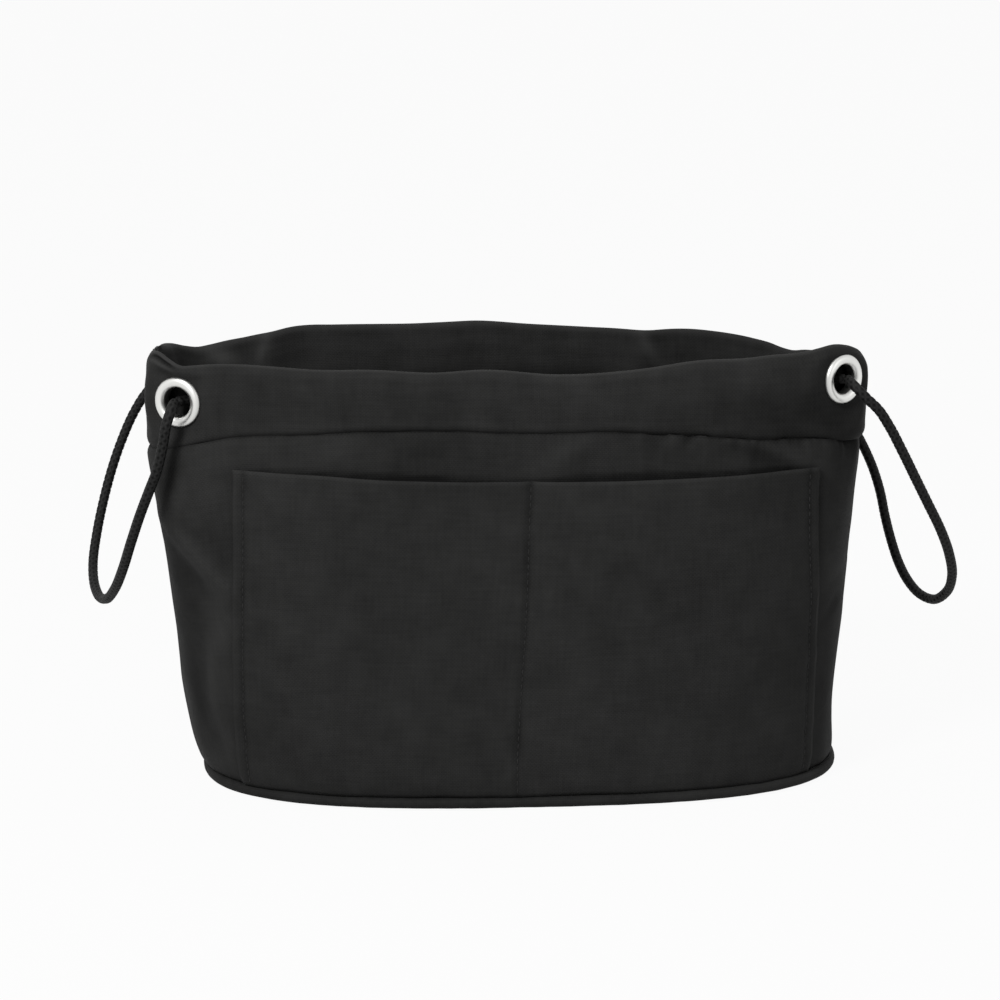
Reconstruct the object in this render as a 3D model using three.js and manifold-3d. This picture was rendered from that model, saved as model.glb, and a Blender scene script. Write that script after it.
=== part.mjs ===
// Purse organizer insert: a soft nylon bag that stands open inside a handbag.
// A drawcord runs in a folded channel round the rim, comes out through four eyelets and hangs in a loop
// at each side. Millimetres, +Z up, +X to the right and -Y to the front.
// The origin is on the floor, below the middle of the rim.

import * as THREE from 'three';
import { mergeVertices } from 'three/addons/utils/BufferGeometryUtils.js';
import Module from 'manifold-3d';

const wasm = await Module();
wasm.setup();

// Bag outline, seen from above
const RIM_HALF_WIDTH = 104.5;
const RIM_HALF_DEPTH = 46;
const RIM_LEFT_SQUARENESS = 8;
const RIM_RIGHT_SQUARENESS = 5.5;
const BASE_HALF_WIDTH = 94.5;
const BASE_HALF_DEPTH = 51;
const BASE_SQUARENESS = 2.75;
const BASE_SHIFT = 4.3;
const SHIFT_FADE = 6;
const BELLY = 1.5;
const SIDE_SWELL = 1.2;
const SWELL_FADE = 4;

// Heights of the rim's channel and of the seam below it
const WALL_HEIGHT = 102.5;
const FRONT_SEAM_RISE = 8;
const BACK_SEAM_RISE = 5;
const CHANNEL_HEIGHT = 24.5;
const FOLD_RISE = 2.4;
const FRONT_LEFT_LIFT = 2.2;
const FRONT_RIGHT_LIFT = 5.8;
const BACK_LEFT_DIP = 5.5;
const BACK_RIGHT_DIP = 7;
const SEAM_SAG = 0.3;

// Cloth layers and the clearances between them
const NYLON = 0.7;
const FOAM = 1.6;
const LINING = 0.6;
const BASE_CLOTH = 0.8;
const BOARD = 1.6;
const LAYER_GAP = 0.3;
const SIDE_SEAM_GAP = 0.3;

// Piping round the bottom seam
const PIPING_DIAMETER = 3.4;
const PIPING_PROUD = 1.2;
const PIPING_LIFT = 0.2;

// Drawcord, and its room in the channel and in the eyelets
const CORD_DIAMETER = 3;
const CORD_END_GAP = 0.3;
const CHANNEL_PLAY = 0.8;
const BORE_PLAY = 6;
const PIVOT_ABOVE_CROWN = 0.8;
const JOINER_LENGTH = 14;
const JOINER_WALL = 0.5;
const THROAT_BEND = 2;
const THROAT_BEND_END = 5;

// Eyelets and the washers behind them
const EYELET_DIAMETER = 15;
const EYELET_CROWN = 1.5;
const CROWN_START = 0.2;
const CROWN_END = 0.6;
const MOUTH_RISE = 0.6;
const FLANGE_EDGE = 0.5;
const BARREL_WALL = 0.5;
const LIP_REACH = 0.9;
const LIP = 0.6;
const WASHER_DIAMETER = 14;
const WASHER = 0.6;
const LEFT_EYELET_FROM_SEAM = 45.5;
const RIGHT_EYELET_FROM_SEAM = 41;
const EYELET_BELOW_RIM = 9.8;
const EYELET_MARGIN = 1;

// Patch pocket on each outer face and slip pocket on each lining
const POCKET_HALF_WIDTH = 83;
const POCKET_SHIFT = 2;
const POCKET_BELOW_SEAM = 5;
const POCKET_GAPE = 7;
const GAPE_FULLNESS = 0.7;
const POCKET_CLOTH = 0.9;
const POCKET_CLEARANCE = 0.6;
const SLIP_HALF_WIDTH = 70;
const SLIP_BELOW_SEAM = 22;
const SLIP_GAPE = 7;
const SLIP_CLOTH = 0.6;
const SLIP_CLEARANCE = 1;

// Routes of the hanging loops, from the middle of the line through a side's two pivots
const LEFT_LOOP_ROUTE = [
  [-0.8, -45.8, 2.4], [-2, -47, -1], [-3.3, -47, -7.5], [-5.2, -45.6, -15],
  [-7.6, -43, -21.3], [-10.3, -39, -28.5], [-13.5, -32.5, -38.2], [-16.8, -23, -49],
  [-20, -12, -57.8], [-23.2, -1, -63.6], [-26.1, 9, -65.2], [-28, 18, -63.1],
  [-28.6, 26, -58.8], [-27.6, 33.5, -51.2], [-25.6, 39, -42.3], [-22.9, 43, -33],
  [-19.8, 45.8, -24.7], [-16.2, 47.4, -17], [-12.2, 48.1, -10.8], [-7.6, 47.8, -6.2],
  [-3.2, 46.2, -4.2],
];
const RIGHT_LOOP_ROUTE = [
  [1.6, -43.9, 5], [4.3, -45, 2.3], [7.9, -45, -1.2], [11.3, -43.8, -6.2],
  [15.5, -41.5, -13.7], [20.4, -37.5, -22.8], [25.2, -33, -31.6], [30.1, -27.5, -40.5],
  [34.5, -20, -50], [37.3, -11.5, -58.9], [37.6, -3, -66], [35.3, 5, -70.6],
  [32.1, 13, -70.7], [29.6, 20, -68], [27.9, 25.5, -64.2], [26.2, 31, -57.9],
  [24.9, 35.5, -51.2], [23.8, 39, -44.3], [21.9, 42, -37.5], [19.3, 44.5, -31.3],
  [15.4, 46, -24], [11.4, 46.5, -17], [7.2, 46, -11.5], [3.2, 44.2, -8],
];

// Counts of facets
const OUTLINE_DIVISIONS = 720;
const FACE_COLUMNS = 22;
const CLOTH_ROWS = [0, 0.1, 0.35, 0.7, 1];
const POCKET_COLUMNS = 20;
const BASE_POINTS = 48;
const PIPING_SIDES = 6;
const EYELET_SEGMENTS = 16;
const CORD_SIDES = 8;
const LOOP_STEPS = 32;
const RUN_STEPS = 36;
const HALF_RUN_STEPS = 20;

// Sizes that follow from the ones above
const WALL_THICKNESS = NYLON + LAYER_GAP + FOAM + LAYER_GAP + LINING;
const PIPING_INSET = PIPING_DIAMETER / 2 - PIPING_PROUD;
const BASE_INSET = PIPING_INSET + PIPING_DIAMETER / 2 + LAYER_GAP;
const BOARD_BOTTOM = BASE_CLOTH + LAYER_GAP;
const BASE_LINING_BOTTOM = BOARD_BOTTOM + BOARD + LAYER_GAP;
const WALL_BOTTOM = Math.max(BASE_LINING_BOTTOM + LINING, PIPING_LIFT + PIPING_DIAMETER) + LAYER_GAP;
const CORD_RADIUS = CORD_DIAMETER / 2;
const BORE_RADIUS = (CORD_DIAMETER + BORE_PLAY) / 2;
const BARREL_RADIUS = BORE_RADIUS + BARREL_WALL;
const EYELET_HOLE_RADIUS = BARREL_RADIUS + LAYER_GAP;
const WASHER_TOP = -(NYLON + LAYER_GAP);
const LIP_TOP = WASHER_TOP - WASHER - LAYER_GAP;
const BARREL_END = LIP_TOP - LIP;
const CORD_DEPTH = CHANNEL_PLAY + CORD_RADIUS - BARREL_END;
const CHANNEL_THICKNESS = CORD_DEPTH + CORD_RADIUS + CHANNEL_PLAY + NYLON;
const CHANNEL_MIDDLE = CHANNEL_THICKNESS / 2;
const PIVOT_HEIGHT = EYELET_CROWN + PIVOT_ABOVE_CROWN;
const RUN_END = PIVOT_HEIGHT - CORD_RADIUS - CORD_END_GAP;
const SWELL_AT = 1 / (SWELL_FADE + 1);
const FRONT = 0;
const BACK = 0.5;

const UP = new THREE.Vector3(0, 1, 0);
const { lerp } = THREE.MathUtils;

// Outline of the bag at one height: a superellipse from the left side seam round the front and back.
// The soft walls lean, so the base lies a little to the right of the rim.
class BagOutline extends THREE.Curve {
  constructor(height) {
    super();
    const rise = Math.min(height / WALL_HEIGHT, 1);
    const belly = BELLY * Math.sin(Math.PI * rise);
    const swell = SIDE_SWELL * (rise / SWELL_AT) * ((1 - rise) / (1 - SWELL_AT)) ** SWELL_FADE;
    this.arcLengthDivisions = OUTLINE_DIVISIONS;
    this.halfWidth = lerp(BASE_HALF_WIDTH, RIM_HALF_WIDTH, rise) + swell;
    this.halfDepth = lerp(BASE_HALF_DEPTH, RIM_HALF_DEPTH, rise) + belly;
    this.leftSquareness = lerp(BASE_SQUARENESS, RIM_LEFT_SQUARENESS, rise ** 2);
    this.rightSquareness = lerp(BASE_SQUARENESS, RIM_RIGHT_SQUARENESS, rise ** 2);
    this.shift = BASE_SHIFT * (1 - rise) ** SHIFT_FADE;
  }

  getPoint(t, target = new THREE.Vector3()) {
    const angle = Math.PI * (1 + 2 * t);
    const across = Math.abs(Math.cos(angle)) / this.halfWidth;
    const deep = Math.abs(Math.sin(angle)) / this.halfDepth;
    const squareness = Math.cos(angle) < 0 ? this.leftSquareness : this.rightSquareness;
    const radius = (across ** squareness + deep ** squareness) ** (-1 / squareness);
    return target.set(this.shift + radius * Math.cos(angle), radius * Math.sin(angle), 0);
  }
}

const outlines = new Map();

function outlineAt(height) {
  const level = Math.min(height, WALL_HEIGHT);
  if (!outlines.has(level)) {
    outlines.set(level, new BagOutline(level));
  }
  return outlines.get(level);
}

// A point on the bag: a share of the way round, a height, and how far in from the outer face
function bagPoint(along, height, inset) {
  const outline = outlineAt(height);
  const point = outline.getPointAt(along);
  const tangent = outline.getTangentAt(along);
  return new THREE.Vector3(point.x - inset * tangent.y, point.y + inset * tangent.x, height);
}

// The rim stands highest near the two front corners and sags near the two back ones.
// The wave's factor brings its peak to one.
const CORNER_LIFTS = [FRONT_LEFT_LIFT, FRONT_RIGHT_LIFT, -BACK_RIGHT_DIP, -BACK_LEFT_DIP];
const WAVE_FACTOR = (25 * Math.sqrt(5)) / 16;

function cornerLift(along) {
  const turn = 2 * Math.PI * along;
  const lift = CORNER_LIFTS[Math.floor(4 * along)];
  return lift * WAVE_FACTOR * Math.abs(Math.sin(turn)) * Math.cos(turn) ** 4;
}

// The seam is highest in the middle of each face, and sags a little with the rim at the back corners
function seamHeight(along) {
  const rise = along < BACK ? FRONT_SEAM_RISE : BACK_SEAM_RISE;
  const sag = SEAM_SAG * Math.min(cornerLift(along), 0);
  return WALL_HEIGHT + rise * Math.sin(2 * Math.PI * along) ** 2 + sag;
}

function rimHeight(along) {
  return WALL_HEIGHT + CHANNEL_HEIGHT + cornerLift(along);
}

const rimLength = outlineAt(WALL_HEIGHT).getLength();
const leftEyelet = LEFT_EYELET_FROM_SEAM / rimLength;
const rightEyelet = RIGHT_EYELET_FROM_SEAM / rimLength;
const flatAlong = (EYELET_DIAMETER / 2 + EYELET_MARGIN) / rimLength;

// Places round one face, from side seam to side seam, with a flat facet behind each eyelet
function faceColumns(face) {
  const seam = SIDE_SEAM_GAP / 2 / rimLength;
  const eyelets = face === FRONT ? [leftEyelet, 0.5 - rightEyelet] : [rightEyelet, 0.5 - leftEyelet];
  const step = 0.5 / FACE_COLUMNS;
  const columns = [];
  for (let i = 0; i <= FACE_COLUMNS; i++) {
    const along = lerp(seam, 0.5 - seam, i / FACE_COLUMNS);
    const clear = eyelets.every((eyelet) => Math.abs(along - eyelet) > flatAlong + step / 4);
    if (clear) {
      columns.push(along);
    }
  }
  for (const eyelet of eyelets) {
    columns.push(eyelet - flatAlong, eyelet + flatAlong);
  }
  return columns.sort((a, b) => a - b).map((along) => face + along);
}

// Mesh building

function signedVolume(geometry) {
  const points = geometry.attributes.position;
  const index = geometry.index;
  const [a, b, c] = [new THREE.Vector3(), new THREE.Vector3(), new THREE.Vector3()];
  let volume = 0;
  for (let i = 0; i < index.count; i += 3) {
    a.fromBufferAttribute(points, index.getX(i));
    b.fromBufferAttribute(points, index.getX(i + 1));
    c.fromBufferAttribute(points, index.getX(i + 2));
    volume += a.dot(b.cross(c)) / 6;
  }
  return volume;
}

// Shares the vertices of a closed surface and turns its faces outwards
function closed(geometry) {
  geometry.deleteAttribute('normal');
  geometry.deleteAttribute('uv');
  const merged = mergeVertices(geometry);
  if (signedVolume(merged) < 0) {
    merged.index.array.reverse();
  }
  return merged;
}

function surface(points, quads) {
  const triangles = quads.flatMap(([a, b, c, d]) => [a, b, c, a, c, d]);
  const geometry = new THREE.BufferGeometry().setFromPoints(points);
  geometry.setIndex(triangles);
  return closed(geometry);
}

function toManifold(geometry) {
  const vertProperties = new Float32Array(geometry.attributes.position.array);
  const triVerts = new Uint32Array(geometry.index.array);
  return new wasm.Manifold(new wasm.Mesh({ numProp: 3, vertProperties, triVerts }));
}

function fromManifold(manifold) {
  const mesh = manifold.getMesh();
  const geometry = new THREE.BufferGeometry();
  geometry.setAttribute('position', new THREE.BufferAttribute(mesh.vertProperties, 3));
  geometry.setIndex(new THREE.BufferAttribute(mesh.triVerts, 1));
  return geometry;
}

// A sheet of cloth with thickness: an outer and an inner face on one grid of columns and rows
function sheetSolid(columns, rows, outerPoint, innerPoint) {
  const points = [];
  for (const facePoint of [outerPoint, innerPoint]) {
    for (const column of columns) {
      for (const row of rows) {
        points.push(facePoint(column, row));
      }
    }
  }
  const lastColumn = columns.length - 1;
  const lastRow = rows.length - 1;
  const at = (side, column, row) => (side * columns.length + column) * rows.length + row;
  const quads = [];
  for (let i = 0; i < lastColumn; i++) {
    for (let j = 0; j < lastRow; j++) {
      quads.push([at(0, i, j), at(0, i + 1, j), at(0, i + 1, j + 1), at(0, i, j + 1)]);
      quads.push([at(1, i, j), at(1, i, j + 1), at(1, i + 1, j + 1), at(1, i + 1, j)]);
    }
    quads.push([at(0, i, 0), at(1, i, 0), at(1, i + 1, 0), at(0, i + 1, 0)]);
    quads.push([at(0, i, lastRow), at(0, i + 1, lastRow), at(1, i + 1, lastRow), at(1, i, lastRow)]);
  }
  for (let j = 0; j < lastRow; j++) {
    quads.push([at(0, 0, j), at(0, 0, j + 1), at(1, 0, j + 1), at(1, 0, j)]);
    const [outer, inner] = [at(0, lastColumn, j), at(1, lastColumn, j)];
    quads.push([outer, inner, inner + 1, outer + 1]);
  }
  return surface(points, quads);
}

// An open-ended tube between an outer and an inner loop of points at each column
function tubeSolid(outerLoops, innerLoops) {
  const points = [...outerLoops.flat(), ...innerLoops.flat()];
  const sides = outerLoops[0].length;
  const last = outerLoops.length - 1;
  const at = (inner, column, side) => (inner * outerLoops.length + column) * sides + (side % sides);
  const quads = [];
  for (let k = 0; k < sides; k++) {
    for (let i = 0; i < last; i++) {
      quads.push([at(0, i, k), at(0, i + 1, k), at(0, i + 1, k + 1), at(0, i, k + 1)]);
      quads.push([at(1, i, k), at(1, i, k + 1), at(1, i + 1, k + 1), at(1, i + 1, k)]);
    }
    quads.push([at(0, 0, k), at(0, 0, k + 1), at(1, 0, k + 1), at(1, 0, k)]);
    quads.push([at(0, last, k), at(1, last, k), at(1, last, k + 1), at(0, last, k + 1)]);
  }
  return surface(points, quads);
}

// A solid ring through loops of points that close on themselves both ways
function ringSolid(loops) {
  const sides = loops[0].length;
  const at = (loop, side) => (loop % loops.length) * sides + (side % sides);
  const quads = [];
  for (let i = 0; i < loops.length; i++) {
    for (let k = 0; k < sides; k++) {
      quads.push([at(i, k), at(i + 1, k), at(i + 1, k + 1), at(i, k + 1)]);
    }
  }
  return surface(loops.flat(), quads);
}

function latheSolid(profile) {
  const points = [...profile, profile[0]].map(([radius, height]) => new THREE.Vector2(radius, height));
  return closed(new THREE.LatheGeometry(points, EYELET_SEGMENTS));
}

// A round cord along a route
function cordSolid(route, steps) {
  const section = new THREE.Shape();
  for (let i = 0; i < CORD_SIDES; i++) {
    const angle = (2 * Math.PI * i) / CORD_SIDES;
    const corner = [CORD_RADIUS * Math.cos(angle), CORD_RADIUS * Math.sin(angle)];
    if (i === 0) {
      section.moveTo(...corner);
    } else {
      section.lineTo(...corner);
    }
  }
  const extrudePath = new THREE.CatmullRomCurve3(route);
  return closed(new THREE.ExtrudeGeometry(section, { extrudePath, steps, bevelEnabled: false }));
}

// Materials

function finish(color, roughness, metalness = 0) {
  return { color, roughness, metalness };
}

const finishes = {
  nylon: finish(0x1c1c1c, 0.75),
  lining: finish(0x191919, 0.8),
  foam: finish(0x2b2b2b, 0.95),
  board: finish(0x303030, 0.6),
  piping: finish(0x181818, 0.7),
  metal: finish(0xdcdcda, 0.18, 1),
  cord: finish(0x141414, 0.8),
};

const organizer = new THREE.Group();

function addPiece(name, geometry, finishName, parent = organizer) {
  geometry.computeVertexNormals();
  const piece = new THREE.Mesh(geometry, new THREE.MeshStandardMaterial(finishes[finishName]));
  piece.name = name;
  parent.add(piece);
}

// Base: bottom cloth, stiffener and lining, with the piping round them

function baseLayer(bottom, thickness) {
  const outline = new THREE.Shape();
  for (let i = 0; i < BASE_POINTS; i++) {
    const { x, y } = bagPoint(i / BASE_POINTS, 0, BASE_INSET);
    if (i === 0) {
      outline.moveTo(x, y);
    } else {
      outline.lineTo(x, y);
    }
  }
  const layer = new THREE.ExtrudeGeometry(outline, { depth: thickness, bevelEnabled: false });
  return closed(layer.translate(0, 0, bottom));
}

function pipingRing() {
  const radius = PIPING_DIAMETER / 2;
  const loops = [];
  for (let i = 0; i < BASE_POINTS; i++) {
    const loop = [];
    for (let k = 0; k < PIPING_SIDES; k++) {
      const angle = (2 * Math.PI * (k + 0.5)) / PIPING_SIDES;
      const point = bagPoint(i / BASE_POINTS, 0, PIPING_INSET + radius * Math.cos(angle));
      point.z = PIPING_LIFT + radius + radius * Math.sin(angle);
      loop.push(point);
    }
    loops.push(loop);
  }
  return ringSolid(loops);
}

addPiece('base_panel', baseLayer(0, BASE_CLOTH), 'nylon');
addPiece('base_board', baseLayer(BOARD_BOTTOM, BOARD), 'board');
addPiece('base_lining', baseLayer(BASE_LINING_BOTTOM, LINING), 'lining');
addPiece('base_piping', pipingRing(), 'piping');

// Walls: each face has an outer cloth, a foam interlining and a lining, from the base to the channel's seam

function wallLayer(face, inset, thickness) {
  const place = (along, row, depth) => bagPoint(along, lerp(WALL_BOTTOM, seamHeight(along), row), depth);
  return sheetSolid(
    faceColumns(face),
    CLOTH_ROWS,
    (along, row) => place(along, row, inset),
    (along, row) => place(along, row, inset + thickness),
  );
}

const FOAM_INSET = NYLON + LAYER_GAP;
const LINING_INSET = FOAM_INSET + FOAM + LAYER_GAP;

for (const [side, face] of [['front', FRONT], ['back', BACK]]) {
  addPiece(`outer_${side}_panel`, wallLayer(face, 0, NYLON), 'nylon');
  addPiece(`${side}_interlining`, wallLayer(face, FOAM_INSET, FOAM), 'foam');
  addPiece(`lining_${side}_panel`, wallLayer(face, LINING_INSET, LINING), 'lining');
}

// Eyelet seats: a frame on the channel's facet, with local +Y out of the cloth

function eyeletSeat(face, along) {
  const height = rimHeight(along) - EYELET_BELOW_RIM;
  const start = bagPoint(along - flatAlong, height, 0);
  const end = bagPoint(along + flatAlong, height, 0);
  const tangent = end.clone().sub(start).normalize();
  const outward = new THREE.Vector3(tangent.y, -tangent.x, 0);
  const seat = new THREE.Group();
  seat.position.addVectors(start, end).multiplyScalar(0.5);
  seat.quaternion.setFromUnitVectors(UP, outward);
  seat.updateMatrix();
  seat.userData = { face, along, tangent, outward };
  organizer.add(seat);
  return seat;
}

// A point at a seat: how far out of the cloth, and how far along the channel
function seatPoint(seat, out, sideways) {
  const { outward, tangent } = seat.userData;
  return seat.position.clone().addScaledVector(outward, out).addScaledVector(tangent, sideways);
}

const seats = {
  front_left: eyeletSeat(FRONT, leftEyelet),
  front_right: eyeletSeat(FRONT, 0.5 - rightEyelet),
  back_right: eyeletSeat(BACK, 0.5 + rightEyelet),
  back_left: eyeletSeat(BACK, 1 - leftEyelet),
};

// Eyelet: a domed flange on a barrel whose end is rolled over the washer
function eyelet() {
  const edge = EYELET_DIAMETER / 2;
  const dome = edge - BORE_RADIUS;
  const barrelMiddle = (LAYER_GAP + BARREL_END) / 2;
  return latheSolid([
    [BORE_RADIUS, BARREL_END],
    [BORE_RADIUS, barrelMiddle],
    [BORE_RADIUS, EYELET_CROWN * MOUTH_RISE],
    [BORE_RADIUS + dome * CROWN_START, EYELET_CROWN],
    [BORE_RADIUS + dome * CROWN_END, EYELET_CROWN],
    [edge, LAYER_GAP + FLANGE_EDGE],
    [edge, LAYER_GAP],
    [BARREL_RADIUS, LAYER_GAP],
    [BARREL_RADIUS, LIP_TOP],
    [BARREL_RADIUS + LIP_REACH, LIP_TOP],
    [BARREL_RADIUS + LIP_REACH, BARREL_END],
  ]);
}

function washer() {
  return latheSolid([
    [EYELET_HOLE_RADIUS, WASHER_TOP - WASHER],
    [EYELET_HOLE_RADIUS, WASHER_TOP],
    [WASHER_DIAMETER / 2, WASHER_TOP],
    [WASHER_DIAMETER / 2, WASHER_TOP - WASHER],
  ]);
}

for (const [place, seat] of Object.entries(seats)) {
  addPiece(`${place}_eyelet`, eyelet(), 'metal', seat);
  addPiece(`${place}_washer`, washer(), 'metal', seat);
}

// Channel: a folded strip that stands on the wall as a flat tube, with a hole at each eyelet

function channelLoop(along, wall) {
  const bottom = seamHeight(along) + LAYER_GAP + wall;
  const shoulder = rimHeight(along) - FOLD_RISE;
  const loop = [bagPoint(along, bottom, wall)];
  for (const angle of [180, 135, 90, 45, 0]) {
    const turn = THREE.MathUtils.degToRad(angle);
    const inset = CHANNEL_MIDDLE + (CHANNEL_MIDDLE - wall) * Math.cos(turn);
    loop.push(bagPoint(along, shoulder + (FOLD_RISE - wall) * Math.sin(turn), inset));
  }
  loop.push(bagPoint(along, bottom, CHANNEL_THICKNESS - wall));
  return loop;
}

function channel(face) {
  const columns = faceColumns(face);
  const tube = tubeSolid(
    columns.map((along) => channelLoop(along, 0)),
    columns.map((along) => channelLoop(along, NYLON)),
  );
  let strip = toManifold(tube);
  for (const seat of Object.values(seats).filter((one) => one.userData.face === face)) {
    const hole = new THREE.CylinderGeometry(
      EYELET_HOLE_RADIUS,
      EYELET_HOLE_RADIUS,
      2 * (NYLON + CHANNEL_PLAY),
      EYELET_SEGMENTS,
    );
    strip = strip.subtract(toManifold(closed(hole.applyMatrix4(seat.matrix))));
  }
  return fromManifold(strip);
}

addPiece('front_channel', channel(FRONT), 'nylon');
addPiece('back_channel', channel(BACK), 'nylon');

// Drawcord inside the channel: out of an eyelet's throat, round a bend and along the middle of the channel

function throatRoute(seat, towards) {
  const bendDepth = CORD_DEPTH - CORD_RADIUS / 2;
  return [
    seatPoint(seat, RUN_END, 0),
    seatPoint(seat, RUN_END - CORD_RADIUS, 0),
    seatPoint(seat, -bendDepth, towards * THROAT_BEND),
    seatPoint(seat, -CORD_DEPTH, towards * THROAT_BEND_END),
  ];
}

// Between two eyelets the cord settles to the middle of the channel
function channelRoute(from, to, stops) {
  const halfWay = (from.along + to.along) / 2;
  const middle = (seamHeight(halfWay) + rimHeight(halfWay)) / 2;
  return stops.map((share) => {
    const settle = Math.sin(Math.PI * share);
    const height = lerp(lerp(from.height, to.height, share), middle, settle);
    const depth = lerp(CORD_DEPTH, CHANNEL_MIDDLE, settle);
    return bagPoint(lerp(from.along, to.along, share), height, depth);
  });
}

function runEnd(seat) {
  return { along: seat.userData.along, height: seat.position.z };
}

const RUN_STOPS = [0.1, 0.2, 0.35, 0.5, 0.65, 0.8, 0.9];

function frontRun() {
  const { front_left: left, front_right: right } = seats;
  return [
    ...throatRoute(left, 1),
    ...channelRoute(runEnd(left), runEnd(right), RUN_STOPS),
    ...throatRoute(right, -1).reverse(),
  ];
}

// Half of the back run: it ends at the middle of the back, inside the sleeve that joins the cord's two ends
function backHalfRun(seat, other, towards) {
  const span = Math.abs(seat.userData.along - other.userData.along) * rimLength;
  const sleeveEnd = 0.5 - JOINER_LENGTH / 2 / span;
  const cordEnd = 0.5 - CORD_END_GAP / 2 / span;
  return [
    ...throatRoute(seat, towards),
    ...channelRoute(runEnd(seat), runEnd(other), [0.1, 0.2, 0.35, sleeveEnd, cordEnd]),
  ];
}

function joiner() {
  const bore = CORD_RADIUS + LAYER_GAP;
  const outer = bore + JOINER_WALL;
  const half = JOINER_LENGTH / 2;
  const middle = channelRoute(runEnd(seats.back_left), runEnd(seats.back_right), [0.5])[0];
  const sleeve = latheSolid([[bore, -half], [bore, half], [outer, half], [outer, -half]]);
  return sleeve.rotateZ(Math.PI / 2).translate(middle.x, middle.y, middle.z);
}

addPiece('front_cord_run', cordSolid(frontRun(), RUN_STEPS), 'cord');
const backLeftRun = backHalfRun(seats.back_left, seats.back_right, -1);
const backRightRun = backHalfRun(seats.back_right, seats.back_left, 1);
addPiece('back_left_cord_run', cordSolid(backLeftRun, HALF_RUN_STEPS), 'cord');
addPiece('back_right_cord_run', cordSolid(backRightRun, HALF_RUN_STEPS), 'cord');
addPiece('cord_joiner', joiner(), 'metal');

// Hanging loops: each ends in a ball in its eyelet's mouth, on the line that it swings about

function hangingLoop(frontSeat, backSeat, route) {
  const front = seatPoint(frontSeat, PIVOT_HEIGHT, 0);
  const back = seatPoint(backSeat, PIVOT_HEIGHT, 0);
  const middle = front.clone().add(back).multiplyScalar(0.5);
  const points = route.map((offset) => middle.clone().add(new THREE.Vector3(...offset)));
  let loop = toManifold(cordSolid([front, ...points, back], LOOP_STEPS));
  for (const end of [front, back]) {
    const ball = new THREE.SphereGeometry(CORD_RADIUS, CORD_SIDES, CORD_SIDES - 2);
    loop = loop.add(toManifold(closed(ball.translate(end.x, end.y, end.z))));
  }
  return fromManifold(loop);
}

addPiece('left_cord_loop', hangingLoop(seats.front_left, seats.back_left, LEFT_LOOP_ROUTE), 'cord');
addPiece('right_cord_loop', hangingLoop(seats.front_right, seats.back_right, RIGHT_LOOP_ROUTE), 'cord');

// Pockets: one cloth sewn down at its sides, foot and middle, so that two mouths gape at the top

function pocket({ face, halfWidth, top, gape, cloth, surfaceInset, outward }) {
  const shift = face === FRONT ? POCKET_SHIFT : -POCKET_SHIFT;
  const columns = [];
  for (let i = 0; i <= POCKET_COLUMNS; i++) {
    columns.push(lerp(-1, 1, i / POCKET_COLUMNS));
  }
  const place = (share, row, depth) => {
    const height = lerp(WALL_BOTTOM, top, row);
    const along = face + 0.25 + (share * halfWidth + shift) / outlineAt(height).getLength();
    const swell = gape * row * Math.sin(Math.PI * Math.abs(share)) ** GAPE_FULLNESS;
    return bagPoint(along, height, surfaceInset - outward * (swell + depth));
  };
  return sheetSolid(
    columns,
    CLOTH_ROWS,
    (share, row) => place(share, row, cloth),
    (share, row) => place(share, row, 0),
  );
}

for (const [side, face] of [['front', FRONT], ['back', BACK]]) {
  const patch = pocket({
    face,
    halfWidth: POCKET_HALF_WIDTH,
    top: WALL_HEIGHT - POCKET_BELOW_SEAM,
    gape: POCKET_GAPE,
    cloth: POCKET_CLOTH,
    surfaceInset: -POCKET_CLEARANCE,
    outward: 1,
  });
  const slip = pocket({
    face,
    halfWidth: SLIP_HALF_WIDTH,
    top: WALL_HEIGHT - SLIP_BELOW_SEAM,
    gape: SLIP_GAPE,
    cloth: SLIP_CLOTH,
    surfaceInset: WALL_THICKNESS + SLIP_CLEARANCE,
    outward: -1,
  });
  addPiece(`${side}_pocket_panel`, patch, 'nylon');
  addPiece(`inner_${side}_pocket`, slip, 'lining');
}

export default organizer;
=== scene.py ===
# Purse organizer insert: the looks of the packed part, laid out as an add-on and run as a script.
# Metres, +Z up, +X to the right and -Y to the front. A place on the bag is a share of the way round,
# from the left side seam past the front, and a height above the floor.

import math

import bmesh
import bpy
import numpy as np
from bpy.props import FloatProperty, FloatVectorProperty, IntProperty, PointerProperty
from mathutils import Matrix, Vector, noise


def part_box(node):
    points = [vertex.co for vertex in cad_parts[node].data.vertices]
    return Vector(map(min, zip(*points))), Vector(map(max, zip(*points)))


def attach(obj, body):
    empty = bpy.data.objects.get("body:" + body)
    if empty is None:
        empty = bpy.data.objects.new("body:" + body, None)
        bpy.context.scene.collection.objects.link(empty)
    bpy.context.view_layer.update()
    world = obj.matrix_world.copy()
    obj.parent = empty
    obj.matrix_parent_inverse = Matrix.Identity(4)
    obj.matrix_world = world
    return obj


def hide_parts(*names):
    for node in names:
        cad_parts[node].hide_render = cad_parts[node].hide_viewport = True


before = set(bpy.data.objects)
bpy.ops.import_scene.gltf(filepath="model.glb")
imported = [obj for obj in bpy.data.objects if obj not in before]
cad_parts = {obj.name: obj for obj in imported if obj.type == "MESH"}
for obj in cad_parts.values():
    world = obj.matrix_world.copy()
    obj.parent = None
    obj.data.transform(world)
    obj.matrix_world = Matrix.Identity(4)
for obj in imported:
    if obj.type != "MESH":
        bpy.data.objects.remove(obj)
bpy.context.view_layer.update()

bl_info = {
    "name": "Purse organizer insert",
    "version": (1, 0, 0),
    "blender": (4, 5, 0),
    "location": "View3D > Sidebar > Organizer",
    "description": "Dresses the packed organizer in cloth, braided cord and polished eyelets",
    "category": "Add Mesh",
}

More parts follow.
